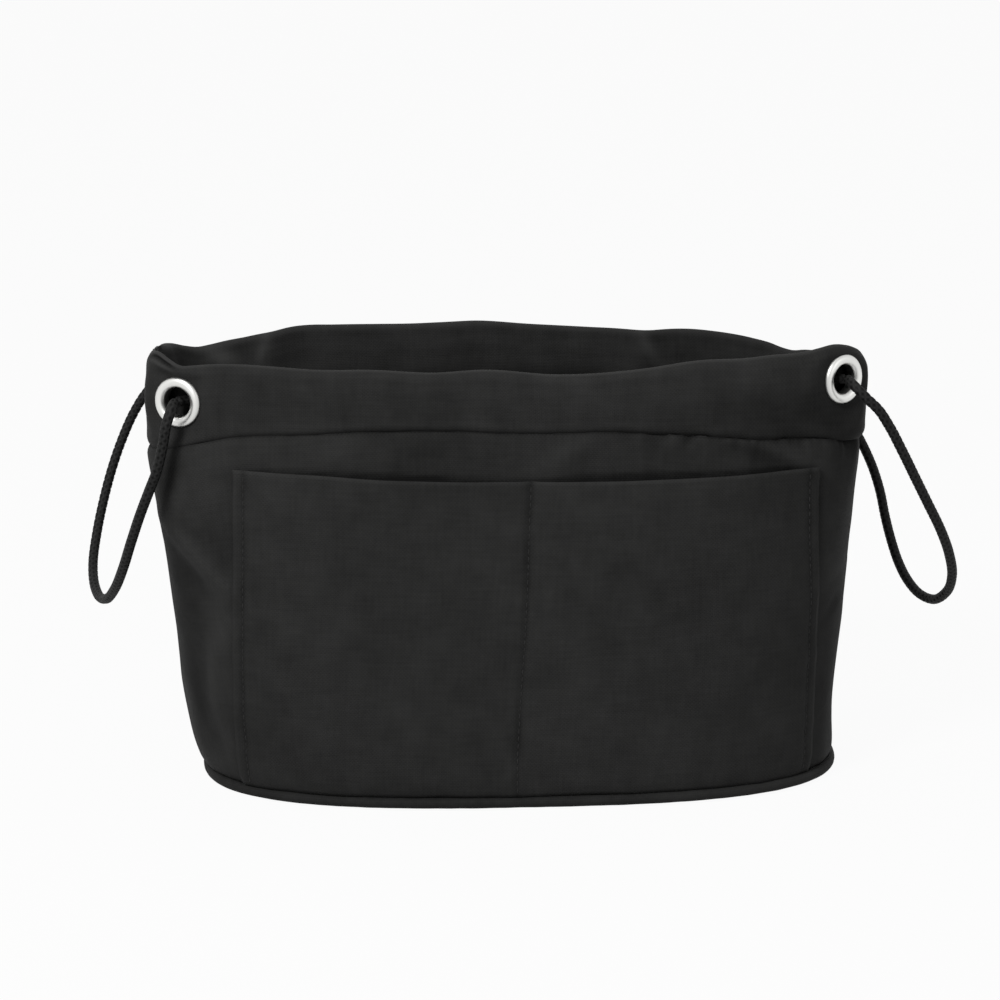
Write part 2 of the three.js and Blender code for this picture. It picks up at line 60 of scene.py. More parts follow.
MM = 0.001
SIDES = ("front", "back")
FACE_START = {"front": 0.0, "back": 0.5}
FACE_MIDDLE = {"front": 0.25, "back": 0.75}
CORNERS = ("front_left", "front_right", "back_right", "back_left")

# Cloth layers, as the solids have them
NYLON = 0.7 * MM
FOAM = 1.6 * MM
LINING = 0.6 * MM
LAYER_GAP = 0.3 * MM
FOAM_INSET = NYLON + LAYER_GAP
LINING_INSET = FOAM_INSET + FOAM + LAYER_GAP
WALL_THICKNESS = LINING_INSET + LINING
SIDE_SEAM_GAP = 0.3 * MM
WALL_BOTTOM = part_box("outer_front_panel")[0].z
RIM_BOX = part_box("front_channel")
SLIP_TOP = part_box("inner_front_pocket")[1].z

# The outer cloths reach down to the piping, a little lower than the solids
CLOTH_FOOT = WALL_BOTTOM - 0.26 * MM

# The channel's outer face lies at less than this inset
OUTER_FACE = 2.4 * MM

# Heights of the rim and of the seam under the channel, in millimetres, by the share of a face.
# The front face runs from the left side seam to the right one, the back face from right to left.
RIM_STATIONS = {
    "front": (
        (0.0, 128.1), (0.04, 129.7), (0.08, 131.3), (0.11, 132.4), (0.138, 132.9), (0.154, 131.3),
        (0.168, 129.8), (0.179, 130.0), (0.195, 130.4), (0.231, 130.4), (0.264, 129.7), (0.297, 128.8),
        (0.361, 128.5), (0.429, 127.5), (0.478, 128.1), (0.55, 126.5), (0.625, 127.5), (0.699, 130.1),
        (0.744, 130.5), (0.775, 131.3), (0.79, 131.4), (0.805, 131.7), (0.822, 132.5), (0.842, 133.2),
        (0.862, 132.5), (0.885, 130.9), (0.94, 127.0), (1.0, 123.6),
    ),
    "back": (
        (0.0, 123.6), (0.05, 121.8), (0.09, 119.8), (0.125, 118.5), (0.146, 118.2), (0.16, 117.8),
        (0.175, 118.6), (0.189, 119.9), (0.203, 120.8), (0.218, 121.7), (0.232, 122.4), (0.271, 123.8),
        (0.341, 123.9), (0.407, 125.0), (0.452, 125.8), (0.518, 127.2), (0.584, 126.5), (0.672, 126.4),
        (0.725, 125.7), (0.75, 124.1), (0.77, 122.9), (0.79, 122.0), (0.81, 120.9), (0.825, 120.4),
        (0.838, 120.9), (0.86, 122.3), (0.88, 123.1), (0.92, 124.4), (0.96, 126.2), (1.0, 128.1),
    ),
}
SEAM_STATIONS = {
    "front": (
        (0.0, 102.5), (0.08, 103.8), (0.15, 106.0), (0.231, 110.0), (0.286, 110.2), (0.36, 111.0),
        (0.411, 111.1), (0.526, 110.0), (0.624, 109.9), (0.697, 108.5), (0.756, 107.1), (0.8, 107.0),
        (0.867, 105.2), (1.0, 102.5),
    ),
    "back": (
        (0.0, 102.5), (0.07, 101.5), (0.146, 101.4), (0.2, 102.4), (0.3, 105.1), (0.5, 107.5),
        (0.7, 105.2), (0.8, 102.8), (0.838, 102.1), (0.93, 101.8), (1.0, 102.5),
    ),
}

# The channel's closed section, from the seam up the outer face: millimetres in, and share of its height
CHANNEL_SECTION = (
    (1.2, 0.0), (0.2, 0.06), (-0.1, 0.22), (-0.25, 0.5), (0.0, 0.76), (0.6, 0.92), (2.4, 1.0),
    (4.4, 0.95), (5.6, 0.82), (7.4, 0.6), (7.8, 0.42), (6.6, 0.2), (4.6, 0.04), (3.9, 0.0), (2.6, -0.01),
)

# Patch pocket on the front, in millimetres: distances from the middle of the face, by height,
# and heights of its mouth, by the share of the way from the middle seam to an edge
POCKET_LEFT_EDGE = ((0.0, -86.0), (12.0, -84.1), (31.5, -81.4), (62.5, -79.0), (102.0, -78.0))
POCKET_CENTRE = ((0.0, -3.5), (33.0, 1.8), (62.5, 4.8), (79.5, 5.7), (102.0, 6.8))
POCKET_RIGHT_EDGE = ((0.0, 88.6), (26.5, 92.2), (58.0, 91.6), (76.5, 90.5), (102.0, 89.2))
POCKET_MOUTH = (
    (-1.0, 100.8), (-0.72, 99.9), (-0.48, 98.5), (-0.15, 97.0), (0.0, 96.6),
    (0.25, 97.1), (0.6, 98.0), (0.85, 98.5), (1.0, 98.7),
)
GAPE_ROUNDNESS = 0.85

# Shade of the wall behind a patch pocket: strength, both ends across, half width, rise and soft edge
POCKET_SHADE = 0.9
SHADE_LEFT = (-78 * MM, -70 * MM)
SHADE_RIGHT = (88 * MM, 80 * MM)
SHADE_HALF_WIDTH = 83 * MM
SHADE_RISE = 0.7 * MM
SHADE_EDGE = 0.8 * MM

# How much a wall's relief is painted into its cloth, as painted light on the ridges and painted shade in the
# dents: the depth for a full tint, and the limit
TINT_DEPTH = 2.4 * MM
TINT_LIMIT = 0.4

# Soft creases of the front wall: start and end as x and height, half width and depth, in millimetres
FRONT_CREASES = (
    ((-92.5, 99.0), (-97.5, 83.0), 2.4, 0.9),
    ((-99.5, 84.0), (-82.0, 64.0), 2.6, 2.0),
    ((-97.5, 74.0), (-90.0, 64.0), 3.5, -1.1),
    ((-84.0, 58.0), (-86.0, 26.0), 4.0, 1.2),
    ((-92.0, 44.0), (-88.0, 14.0), 4.5, -1.1),
    ((-84.0, 30.0), (-80.0, 8.0), 3.0, 0.9),
    ((99.0, 64.0), (95.5, 18.0), 4.0, 0.9),
    ((93.5, 69.0), (97.0, 65.0), 5.0, 0.5),
    ((93.5, 56.0), (97.0, 54.0), 4.0, -0.5),
    ((-40.0, 107.0), (-66.0, 99.0), 3.5, 0.4),
    ((-10.0, 108.0), (-34.0, 100.0), 3.5, -0.25),
    ((22.0, 108.0), (6.0, 99.0), 3.5, 0.7),
    ((58.0, 106.0), (78.0, 99.0), 3.0, -0.9),
    ((70.0, 106.0), (90.0, 96.0), 3.0, 0.8),
)
SIDE_CREASE_FADE = 18 * MM
CREASE_ENDS = (0.12, 0.88)

# Broad dents of the walls: strength, size and seed
BROAD_DENTS = ((1.0, 42 * MM, 1), (0.55, 17 * MM, 2))

# Where the sides are drawn in: ends across, then height and half height, or the reach below the seam
LEFT_PULL_ENDS = (-84 * MM, -97 * MM)
LEFT_PULL_HEIGHT = 42 * MM
LEFT_PULL_HALF_HEIGHT = 24 * MM
RIGHT_PULL_ENDS = (88 * MM, 98 * MM)
RIGHT_PULL_REACH = 14 * MM

# The front's gathers under the channel seam, and its fine puckers: strengths, and soft ends across the face
GATHER_STRENGTHS = (0.6, 3.4)
GATHER_START = (0.58, 0.7)
PUCKER_START = (0.6, 0.68)
PUCKER_END = (0.9, 0.84)

# Tucks beside the walls' seams: depth and reach
SEAM_TUCK = (0.9 * MM, 1.1 * MM)
FOOT_TUCK = (0.9 * MM, 1.5 * MM)
SIDE_TUCK = (0.8 * MM, 1.4 * MM)

# Painted light and shadow on the front: the cord's painted shadow on the left wall, darker strips where the
# wall turns from the light and paler places where light falls, laid out as the creases, with a tint in place
# of the depth
FRONT_PAINTED_LIGHT = (
    ((-97.0, 103.0), (-101.5, 77.0), 2.8, -0.75),
    ((-101.5, 84.0), (-91.5, 14.0), 3.4, -0.45),
    ((-87.0, 99.0), (-92.0, 82.0), 7.0, 0.34),
    ((-88.0, 105.0), (-42.0, 105.0), 6.5, 0.36),
    ((-87.0, 66.0), (-85.0, 46.0), 4.0, 0.2),
    ((-88.0, 36.0), (-84.0, 14.0), 6.0, -0.2),
    ((98.0, 94.0), (97.0, 74.0), 5.0, 0.4),
    ((94.0, 72.0), (96.0, 62.0), 5.0, 0.6),
    ((93.0, 57.0), (97.0, 55.0), 3.5, -0.5),
    ((97.5, 46.0), (93.0, 8.0), 5.0, -0.85),
    ((62.0, 113.0), (102.0, 112.0), 9.0, -0.65),
)

# Painted highlights: pale streaks of light on the inner face of the back channel
BACK_PAINTED_HIGHLIGHTS = (
    ((-70.5, 125.0), (-73.8, 115.5), 1.6, 0.9),
    ((-91.0, 119.5), (-82.0, 116.5), 2.6, 1.3),
    ((44.5, 124.0), (50.5, 112.5), 1.9, 0.75),
)

# Upright gathers of the back channel: share of the face, half width and depth into the bag, in millimetres
BACK_GATHERS = (
    (0.343, 5.0, 1.6), (0.385, 6.0, -0.8), (0.755, 4.5, 1.8), (0.71, 5.0, -0.9), (0.56, 7.0, 0.7),
)

# Braid: tone of a strand that passes under, which is sunk lower and painted darker as shade, fullness, and
# the smallest ring of a rounded end
BRAID_UNDER = 0.6
BRAID_FULLNESS = 1.02
SMALLEST_RING = 0.02

THREAD_SIDES = 6
WELD_DISTANCE = 1e-6

# Routes of the hanging loops, in millimetres from the middle of the line through a side's two pivots
LEFT_LOOP_ROUTE = (
    (-0.8, -45.8, 2.4), (-2, -47, -1), (-3.3, -47, -7.5), (-5.2, -45.6, -15),
    (-7.6, -43, -21.3), (-10.3, -39, -28.5), (-13.5, -32.5, -38.2), (-16.8, -23, -49),
    (-20, -12, -57.8), (-23.2, -1, -63.6), (-26.1, 9, -65.2), (-28, 18, -63.1),
    (-28.6, 26, -58.8), (-27.6, 33.5, -51.2), (-25.6, 39, -42.3), (-22.9, 43, -33),
    (-19.8, 45.8, -24.7), (-16.2, 47.4, -17), (-12.2, 48.1, -10.8), (-7.6, 47.8, -6.2),
    (-3.2, 46.2, -4.2),
)
RIGHT_LOOP_ROUTE = (
    (1.6, -43.9, 5), (4.3, -45, 2.3), (7.9, -45, -1.2), (11.3, -43.8, -6.2),
    (15.5, -41.5, -13.7), (20.4, -37.5, -22.8), (25.2, -33, -31.6), (30.1, -27.5, -40.5),
    (34.5, -20, -50), (37.3, -11.5, -58.9), (37.6, -3, -66), (35.3, 5, -70.6),
    (32.1, 13, -70.7), (29.6, 20, -68), (27.9, 25.5, -64.2), (26.2, 31, -57.9),
    (24.9, 35.5, -51.2), (23.8, 39, -44.3), (21.9, 42, -37.5), (19.3, 44.5, -31.3),
    (15.4, 46, -24), (11.4, 46.5, -17), (7.2, 46, -11.5), (3.2, 44.2, -8),
)


def length_of(name, description, default):
    """A size that a user would change, in metres."""
    return FloatProperty(name=name, description=description, default=default, unit="LENGTH", precision=5)


def share_of(name, description, default):
    """A share or strength that a user would change."""
    return FloatProperty(name=name, description=description, default=default, min=0.0, subtype="FACTOR")


def colour_of(name, description, default):
    """A colour that a user would change."""
    return FloatVectorProperty(
        name=name, description=description, default=default, size=3, min=0.0, max=1.0, subtype="COLOR"
    )


class OrganizerBag(bpy.types.PropertyGroup):
    """Sizes of the soft bag."""

    rim_half_width: length_of("Rim half width", "Middle of the rim to a side", RIM_BOX[1].x)
    rim_half_depth: length_of("Rim half depth", "Middle of the rim to the front", -RIM_BOX[0].y)
    base_half_width: length_of("Base half width", "Middle of the base to a side", 94.5 * MM)
    base_half_depth: length_of("Base half depth", "Middle of the base to the front", 51 * MM)
    base_shift: length_of("Base shift", "How far the base lies to the right of the rim", 4.3 * MM)
    wall_height: length_of("Wall height", "Floor to the side seams' top", 102.5 * MM)
    belly: length_of("Belly", "Swell of the front and back at half height", 1.5 * MM)
    side_swell: length_of("Side swell", "Swell of the sides low down", 1.2 * MM)
    rim_left_squareness: share_of("Left squareness", "How square the rim's left corners are", 8.0)
    rim_right_squareness: share_of("Right squareness", "How square the rim's right corners are", 5.5)
    base_squareness: share_of("Base squareness", "How square the base's corners are", 2.75)
    left_pull: length_of("Left pull", "How far the left side is drawn in at half height", 1.4 * MM)
    right_pull: length_of("Right pull", "How far the right side is drawn in under the channel", 1.8 * MM)
    slack: length_of("Slack", "Depth of the walls' broad soft dents", 1.0 * MM)
    pucker: length_of("Pucker", "Depth of the small folds along seams", 0.5 * MM)
    piping: length_of("Piping", "Diameter of the piping round the bottom seam", 3.4 * MM)


class OrganizerPocket(bpy.types.PropertyGroup):
    """Sizes of the pockets and their stitches."""

    gape: length_of("Gape", "How far each patch pocket's mouth stands off the wall", 6.0 * MM)
    cloth: length_of("Cloth", "Thickness of the patch pockets' folded cloth", 0.9 * MM)
    clearance: length_of("Clearance", "Gap between a patch pocket and its wall", 0.5 * MM)
    slip_half_width: length_of("Slip half width", "Middle of a slip pocket to its side", 70 * MM)
    slip_height: length_of("Slip height", "Floor to a slip pocket's mouth", SLIP_TOP)
    slip_gape: length_of("Slip gape", "How far a slip pocket's mouth stands off the lining", 5.5 * MM)
    slip_cloth: length_of("Slip cloth", "Thickness of the slip pockets' cloth", 0.6 * MM)
    stitch_pitch: length_of("Stitch pitch", "Distance from stitch to stitch", 2.3 * MM)
    stitch_length: length_of("Stitch length", "Length of the thread that shows", 1.75 * MM)
    thread: length_of("Thread", "Diameter of the sewing thread", 0.42 * MM)
    hem: length_of("Hem", "Distance from a pocket's edge to its stitches", 3.0 * MM)


class OrganizerCord(bpy.types.PropertyGroup):
    """Sizes of the braided drawcord."""

    diameter: length_of("Diameter", "Thickness of the drawcord", 3 * MM)
    lay: length_of("Lay", "Length of one turn of a strand", 8.4 * MM)
    strands: IntProperty(name="Strands", description="Strands that run each way", default=4, min=2)
    relief: share_of("Relief", "Depth between strands, as a share of the radius", 0.24)


class OrganizerEyelet(bpy.types.PropertyGroup):
    """Sizes of the metal eyelets."""

    diameter: length_of("Diameter", "Flange from edge to edge", 14.5 * MM)
    bore: length_of("Bore", "Width of the hole", 8.5 * MM)
    crown: length_of("Crown", "Height of the flange above the cloth", 1.5 * MM)
    barrel: length_of("Barrel", "Depth of the barrel in the cloth", 2.5 * MM)


class OrganizerFinish(bpy.types.PropertyGroup):
    """Colours of the finishes."""

    nylon: colour_of("Nylon", "Outer cloth", (0.0212, 0.0212, 0.0208))
    lining: colour_of("Lining", "Lining cloth", (0.0155, 0.0155, 0.0153))
    foam: colour_of("Foam", "Interlining", (0.02, 0.02, 0.02))
    board: colour_of("Board", "Base stiffener", (0.03, 0.03, 0.03))
    cord: colour_of("Cord", "Drawcord", (0.0085, 0.0085, 0.0084))
    thread: colour_of("Thread", "Sewing thread", (0.016, 0.016, 0.0157))
    metal: colour_of("Metal", "Nickel plate", (0.72, 0.72, 0.7))
    floor: colour_of("Floor", "Studio floor", (0.56, 0.56, 0.56))


# Curves and tables

def mix(start, end, share):
    """The value a share of the way from start to end."""
    return start + (end - start) * share


def smooth_step(low, high, value):
    """0 below low and 1 above high, with a soft ramp between them."""
    share = np.clip((value - low) / (high - low), 0, 1)
    return share * share * (3 - 2 * share)


def bell(distance, half_width):
    """1 at no distance, with a soft fall to both sides."""
    return np.exp(-((distance / half_width) ** 2))


def fading(distance, reach):
    """1 at no distance, with a fall that starts steep."""
    return np.exp(-distance / reach)


def tuck(distance, depth, reach):
    """The depth of a tuck at a distance from its seam."""
    return depth * fading(distance, reach)


def within(value, start, end):
    """1 between two soft ends and 0 outside them. Each end is a pair of values."""
    return smooth_step(*start, value) * smooth_step(*end, value)


def walked_along(points):
    """The distance walked along a line of points, at each of them."""
    return np.concatenate([[0.0], np.cumsum(np.linalg.norm(np.diff(points, axis=0), axis=1))])


def smooth_line(stations, values, at):
    """Values between stations, on a smooth curve through all of them."""
    stations, values, at = np.asarray(stations, float), np.asarray(values, float), np.asarray(at, float)
    slopes = np.gradient(values, stations, axis=0)
    left = np.clip(np.searchsorted(stations, at, side="right") - 1, 0, len(stations) - 2)
    span = stations[left + 1] - stations[left]
    share = (at - stations[left]) / span
    if values.ndim == 2:
        span, share = span[:, None], share[:, None]
    rise = values[left + 1] - values[left]
    start, end = slopes[left] * span, slopes[left + 1] * span
    bend = share * (share - 1) * ((share - 1) * start + share * end - (2 * share - 1) * rise)
    return values[left] + share * rise + bend


def by_height(stations, height):
    """A distance in metres, read at a height from stations in millimetres."""
    heights, values = zip(*stations)
    return smooth_line(heights, values, np.asarray(height) / MM) * MM


def smooth_path(points, spacing):
    """Evenly spaced points on a smooth curve through the given ones."""
    points = np.asarray(points, float)
    stations = walked_along(points)
    fine = smooth_line(stations, points, np.linspace(0, stations[-1], 20 * len(points)))
    walked = walked_along(fine)
    count = max(2, round(walked[-1] / spacing)) + 1
    even = np.linspace(0, walked[-1], count)
    return np.stack([np.interp(even, walked, fine[:, axis]) for axis in range(3)], axis=1)


def ripple(points, size, seed):
    """Soft noise between -1 and 1 with bumps of about one size, or of one size along each axis."""
    scaled = np.asarray(points) / np.asarray(size) + seed * np.array((7.31, 3.17, 5.73))
    return np.array([noise.noise(Vector(point)) for point in scaled])


def ripples(points, layers):
    """Layers of soft noise on one another: strength, size and seed of each."""
    return sum(strength * ripple(points, size, seed) for strength, size, seed in layers)


class BagForm:
    """The bag's outer face as a table of points, by height and by the share of the way round."""

    LEVELS = 60
    STATIONS = 960
    SHIFT_FADE = 6
    SWELL_FADE = 4

    def __init__(self, sizes):
        self.sizes = sizes
        rows = [self.outline(rise) for rise in np.linspace(0, 1, self.LEVELS + 1)]
        self.table = np.array([row for row, length in rows])
        self.lengths = np.array([length for row, length in rows])
        ahead = np.roll(self.table[:, :-1], -1, axis=1) - np.roll(self.table[:, :-1], 1, axis=1)
        ahead /= np.linalg.norm(ahead, axis=2, keepdims=True)
        outward = np.stack([ahead[..., 1], -ahead[..., 0]], axis=2)
        self.outward_table = np.concatenate([outward, outward[:, :1]], axis=1)
        self.rim_length = self.lengths[-1]

    def outline(self, rise):
        """One level's evenly spaced points and its length round."""
        sizes = self.sizes
        swell_at = 1 / (self.SWELL_FADE + 1)
        swell = sizes.side_swell * rise / swell_at * ((1 - rise) / (1 - swell_at)) ** self.SWELL_FADE
        half_width = mix(sizes.base_half_width, sizes.rim_half_width, rise) + swell
        half_depth = mix(sizes.base_half_depth, sizes.rim_half_depth, rise)
        half_depth += sizes.belly * math.sin(math.pi * rise)
        left = mix(sizes.base_squareness, sizes.rim_left_squareness, rise ** 2)
        right = mix(sizes.base_squareness, sizes.rim_right_squareness, rise ** 2)
        angle = np.pi * (1 + 2 * np.linspace(0, 1, 4 * self.STATIONS + 1))
        squareness = np.where(np.cos(angle) < 0, left, right)
        across = (np.abs(np.cos(angle)) / half_width) ** squareness
        deep = (np.abs(np.sin(angle)) / half_depth) ** squareness
        radius = (across + deep) ** (-1 / squareness)
        shift = sizes.base_shift * (1 - rise) ** self.SHIFT_FADE
        points = np.stack([shift + radius * np.cos(angle), radius * np.sin(angle)], axis=1)
        walked = walked_along(points)
        even = np.linspace(0, walked[-1], self.STATIONS + 1)
        return np.stack([np.interp(even, walked, points[:, axis]) for axis in (0, 1)], axis=1), walked[-1]

    def read(self, table, along, height):
        """A table's value between its levels and stations."""
        level = np.clip(height / self.sizes.wall_height, 0, 1) * self.LEVELS
        station = np.clip(along, 0, 1) * self.STATIONS
        low = np.minimum(level.astype(int), self.LEVELS - 1)
        left = np.minimum(station.astype(int), self.STATIONS - 1)
        up, on = (level - low)[:, None], (station - left)[:, None]
        below = mix(table[low, left], table[low, left + 1], on)
        above = mix(table[low + 1, left], table[low + 1, left + 1], on)
        return mix(below, above, up)

    def place(self, along, height, out=0.0):
        """Points at a share of the way round and a height, a distance out of the outer face."""
        along, height, out = np.broadcast_arrays(
            np.atleast_1d(np.asarray(along, float)), np.asarray(height, float), np.asarray(out, float)
        )
        flat = self.read(self.table, along, height)
        flat = flat + self.read(self.outward_table, along, height) * out[:, None]
        return np.column_stack([flat, height])

    def length_at(self, height):
        """The length of the way round at a height."""
        rise = np.clip(np.asarray(height) / self.sizes.wall_height, 0, 1)
        return np.interp(rise * self.LEVELS, np.arange(self.LEVELS + 1), self.lengths)


def face_along(side, share):
    """The share of the way round of a share of one face."""
    return FACE_START[side] + 0.5 * share


def station_height(table, along):
    """A height in metres, read at shares of the way round."""
    along = np.asarray(along, float)
    found = np.empty_like(along)
    for side in SIDES:
        here = (along >= 0.5) == (side == "back")
        shares, heights = zip(*table[side])
        found[here] = smooth_line(shares, heights, 2 * (along[here] - FACE_START[side])) * MM
    return found


def rim_height(along):
    """The height of the rim's fold at shares of the way round."""
    return station_height(RIM_STATIONS, along)


def seam_height(along):
    """The height of the seam under the channel at shares of the way round."""
    return station_height(SEAM_STATIONS, along)


def crease(points, start, end, half_width, depth, facing=-1):
    """A soft ridge or valley along a line on the front face, or on the back face with facing 1."""
    flat = points[:, [0, 2]]
    start, end = np.array(start) * MM, np.array(end) * MM
    way = end - start
    share = np.clip(((flat - start) @ way) / (way @ way), 0, 1)
    apart = np.linalg.norm(flat - (start + share[:, None] * way), axis=1)
    fade = np.sin(np.pi * mix(*CREASE_ENDS, share))
    on_face = smooth_step(0.0, SIDE_CREASE_FADE, facing * points[:, 1])
    return on_face * fade * depth * MM * bell(apart, half_width * MM)


def cloth_tint(points, lines, facing=-1):
    """How much painted light or shade lies on the cloth at points of the front, or of the back with facing
    1.
    """
    return sum(crease(points, *line, facing) for line in lines) / MM


def side_distance(form, along):
    """The distance along the rim from the nearer side seam."""
    share = (2 * along) % 1.0
    return np.minimum(share, 1 - share) * form.rim_length / 2


def wall_relief(form, along, height):
    """How far the walls stand out of the plain form: broad dents, creases, and tucks at the seams."""
    sizes = form.sizes
    points = form.place(along, height)
    below_seam = seam_height(along) - height
    above_foot = height - WALL_BOTTOM
    from_side = side_distance(form, along)
    relief = sizes.slack * ripples(points, BROAD_DENTS)
    left_side = smooth_step(*LEFT_PULL_ENDS, points[:, 0])
    relief -= sizes.left_pull * left_side * bell(height - LEFT_PULL_HEIGHT, LEFT_PULL_HALF_HEIGHT)
    right_side = smooth_step(*RIGHT_PULL_ENDS, points[:, 0])
    relief -= sizes.right_pull * right_side * fading(below_seam, RIGHT_PULL_REACH)
    for line in FRONT_CREASES:
        relief += crease(points, *line)
    walked = along * form.rim_length
    strip = np.column_stack([walked, height, np.zeros_like(walked)])
    front_share = np.where(along < 0.5, 2 * along, 0.0)
    gathered = mix(*GATHER_STRENGTHS, smooth_step(*GATHER_START, front_share))
    puckered = within(front_share, PUCKER_START, PUCKER_END)
    # Rows of small folds: strength, size along and up in millimetres, seed, distance and reach from a seam
    rows = (
        (gathered, (4.5, 26), 3, below_seam, 5),
        (0.8, (13, 30), 14, below_seam, 14),
        (2.4 * puckered, (2.1, 6), 15, below_seam, 4),
        (0.7, (9, 26), 4, above_foot, 8),
        (0.8, (26, 8), 5, from_side, 7),
    )
    for strength, (wide, high), seed, distance, reach in rows:
        folds = ripple(strip, (wide * MM, high * MM, 1), seed)
        relief += strength * sizes.pucker * folds * fading(distance, reach * MM)
    tucks = tuck(below_seam, *SEAM_TUCK) + tuck(above_foot, *FOOT_TUCK) + tuck(from_side, *SIDE_TUCK)
    return relief - tucks


# Materials

# How fine the cloth's noises are, in bumps per metre. Slubs are long one way and thin the other.
MOTTLE_SCALE = 26.0
CLOUD_SCALE = 130.0
LINT_SCALE = 900.0
SLUB_SCALE = (90.0, 1000.0)


class Shade:
    """A number, colour or vector socket of a node tree. Arithmetic on numbers adds Math nodes."""

    def __init__(self, tree, socket):
        self.tree = tree
        self.socket = socket

    def math(self, operation, *values):
        return self.tree.add("ShaderNodeMath", {"operation": operation}, dict(enumerate(values)))

    def __add__(self, other):
        return self.math("ADD", self, other)

    def __radd__(self, other):
        return self.math("ADD", other, self)

    def __sub__(self, other):
        return self.math("SUBTRACT", self, other)

    def __rsub__(self, other):
        return self.math("SUBTRACT", other, self)

    def __mul__(self, other):
        return self.math("MULTIPLY", self, other)

    def __abs__(self):
        return self.math("ABSOLUTE", self)

    def sine(self):
        return self.math("SINE", self)

    def at_most(self, other):
        return self.math("MINIMUM", self, other)


class Tree:
    """A node tree that is filled node by node."""

    def __init__(self, node_tree):
        self.node_tree = node_tree
        node_tree.nodes.clear()

    def add(self, kind, settings=None, inputs=None, output=0):
        """Adds a node: its settings first, then its sockets' values or links. Gives one of its outputs."""
        node = self.node_tree.nodes.new(kind)
        for name, value in (settings or {}).items():
            setattr(node, name, value)
        for name, value in (inputs or {}).items():
            if isinstance(value, Shade):
                self.node_tree.links.new(value.socket, node.inputs[name])
            else:
                node.inputs[name].default_value = value
        return Shade(self, node.outputs[output]) if len(node.outputs) else None

    def on_object(self):
        """The place on the object."""
        return self.add("ShaderNodeTexCoord", None, None, "Object")

    def on_cloth(self):
        """The place on the cloth, laid out flat."""
        return self.add("ShaderNodeUVMap", {"uv_map": "cloth"})

    def stored(self, name):
        """A value that is stored at the mesh's points."""
        return self.add("ShaderNodeAttribute", {"attribute_name": name}, None, "Fac")

    def split(self, vector):
        """The x and y of a vector."""
        parts = {axis: self.add("ShaderNodeSeparateXYZ", None, {0: vector}, axis) for axis in ("X", "Y")}
        return parts["X"], parts["Y"]

    def noise(self, vector, scale, detail=2.0, roughness=0.5):
        """Soft noise between 0 and 1."""
        inputs = {"Vector": vector, "Scale": scale, "Detail": detail, "Roughness": roughness}
        return self.add("ShaderNodeTexNoise", None, inputs, "Fac")

    def stretched(self, vector, scale):
        """A vector stretched along its axes."""
        return self.add("ShaderNodeMapping", None, {"Vector": vector, "Scale": scale})

    def blend(self, factor, first, second):
        """A colour between two colours."""
        settings = {"data_type": "RGBA", "clamp_factor": True}
        return self.add("ShaderNodeMix", settings, {0: factor, 6: (*first, 1.0), 7: (*second, 1.0)}, 2)

    def bump(self, height, distance, strength=1.0):
        """A normal from a height between 0 and 1."""
        inputs = {"Height": height, "Distance": distance, "Strength": strength}
        return self.add("ShaderNodeBump", None, inputs)

    def surface(self, **sockets):
        """A Principled surface on the material's output. Underscores in a name stand for spaces."""
        inputs = {name.replace("_", " "): value for name, value in sockets.items()}
        shader = self.add("ShaderNodeBsdfPrincipled", None, inputs)
        self.add("ShaderNodeOutputMaterial", None, {"Surface": shader})


def new_material(name):
    """An empty material, and its node tree to fill."""
    made = bpy.data.materials.new(name)
    made.use_nodes = True
    return made, Tree(made.node_tree)


def tinted(colour, factor):
    """A colour made lighter or darker."""
    return tuple(min(1.0, part * factor) for part in colour)


def spread(value, width):
    """A value between 0 and 1, turned into a spread about 0."""
    return (value - 0.5) * width


def woven_finish(name, colour, thread_width, roughness, slant=0.0):
    """Plain-woven cloth: crossing threads, slubs along both ways, soft mottling, and painted light and shade
    stored at the mesh's points.
    """
    made, tree = new_material(name)
    flat = tree.on_cloth()
    turned = tree.add("ShaderNodeMapping", None, {"Vector": flat, "Rotation": (0.0, 0.0, slant)})
    across, up = tree.split(turned)
    crossing = (across * (math.pi / thread_width)).sine() * (up * (math.pi / thread_width)).sine()
    weft_slub = tree.noise(tree.stretched(turned, (*SLUB_SCALE, 1.0)), 1.0)
    warp_slub = tree.noise(tree.stretched(turned, (*reversed(SLUB_SCALE), 1.0)), 1.0)
    place = tree.on_object()
    mottle = tree.noise(place, MOTTLE_SCALE, 3.0)
    lint = tree.noise(place, LINT_SCALE, 1.0)
    # Painted light and shade: paler where light would catch ridges and edges, darker where shade would fall
    # in dents, grooves and recesses
    painted_light = tree.stored("painted_light")
    slub = weft_slub + warp_slub - 1.0
    cloud = tree.noise(place, CLOUD_SCALE)
    drift = spread(mottle, 0.4) + spread(cloud, 0.42)
    tone = 0.5 + drift + slub * 0.26 + crossing * 0.08 + painted_light * 0.5 + spread(lint, 0.1)
    base = tree.blend(tone, tinted(colour, 0.3), tinted(colour, 1.7))
    gloss = roughness + spread(mottle, 0.16) + slub * 0.1
    height = abs(crossing) * 0.75 + slub * 0.3
    tree.surface(
        Base_Color=base,
        Roughness=gloss,
        Specular_IOR_Level=0.06,
        Normal=tree.bump(height, 0.07 * MM, 0.7),
    )
    return made


def braided_finish(name, colour):
    """Braided cord: painted highlights along each strand's crown and painted shade between the strands, with
    fine fibres.
    """
    made, tree = new_material(name)
    strand = tree.stored("strand")
    flat = tree.on_cloth()
    fibres = tree.noise(tree.stretched(flat, (900.0, 5200.0, 1.0)), 1.0, 3.0)
    tone = strand * 1.6 - 0.72 + spread(fibres, 0.5)
    tree.surface(
        Base_Color=tree.blend(tone, tinted(colour, 0.05), tinted(colour, 2.55)),
        Roughness=0.6 + spread(fibres, 0.2),
        Specular_IOR_Level=0.12,
        Normal=tree.bump(fibres, 0.08 * MM, 0.6),
    )
    return made


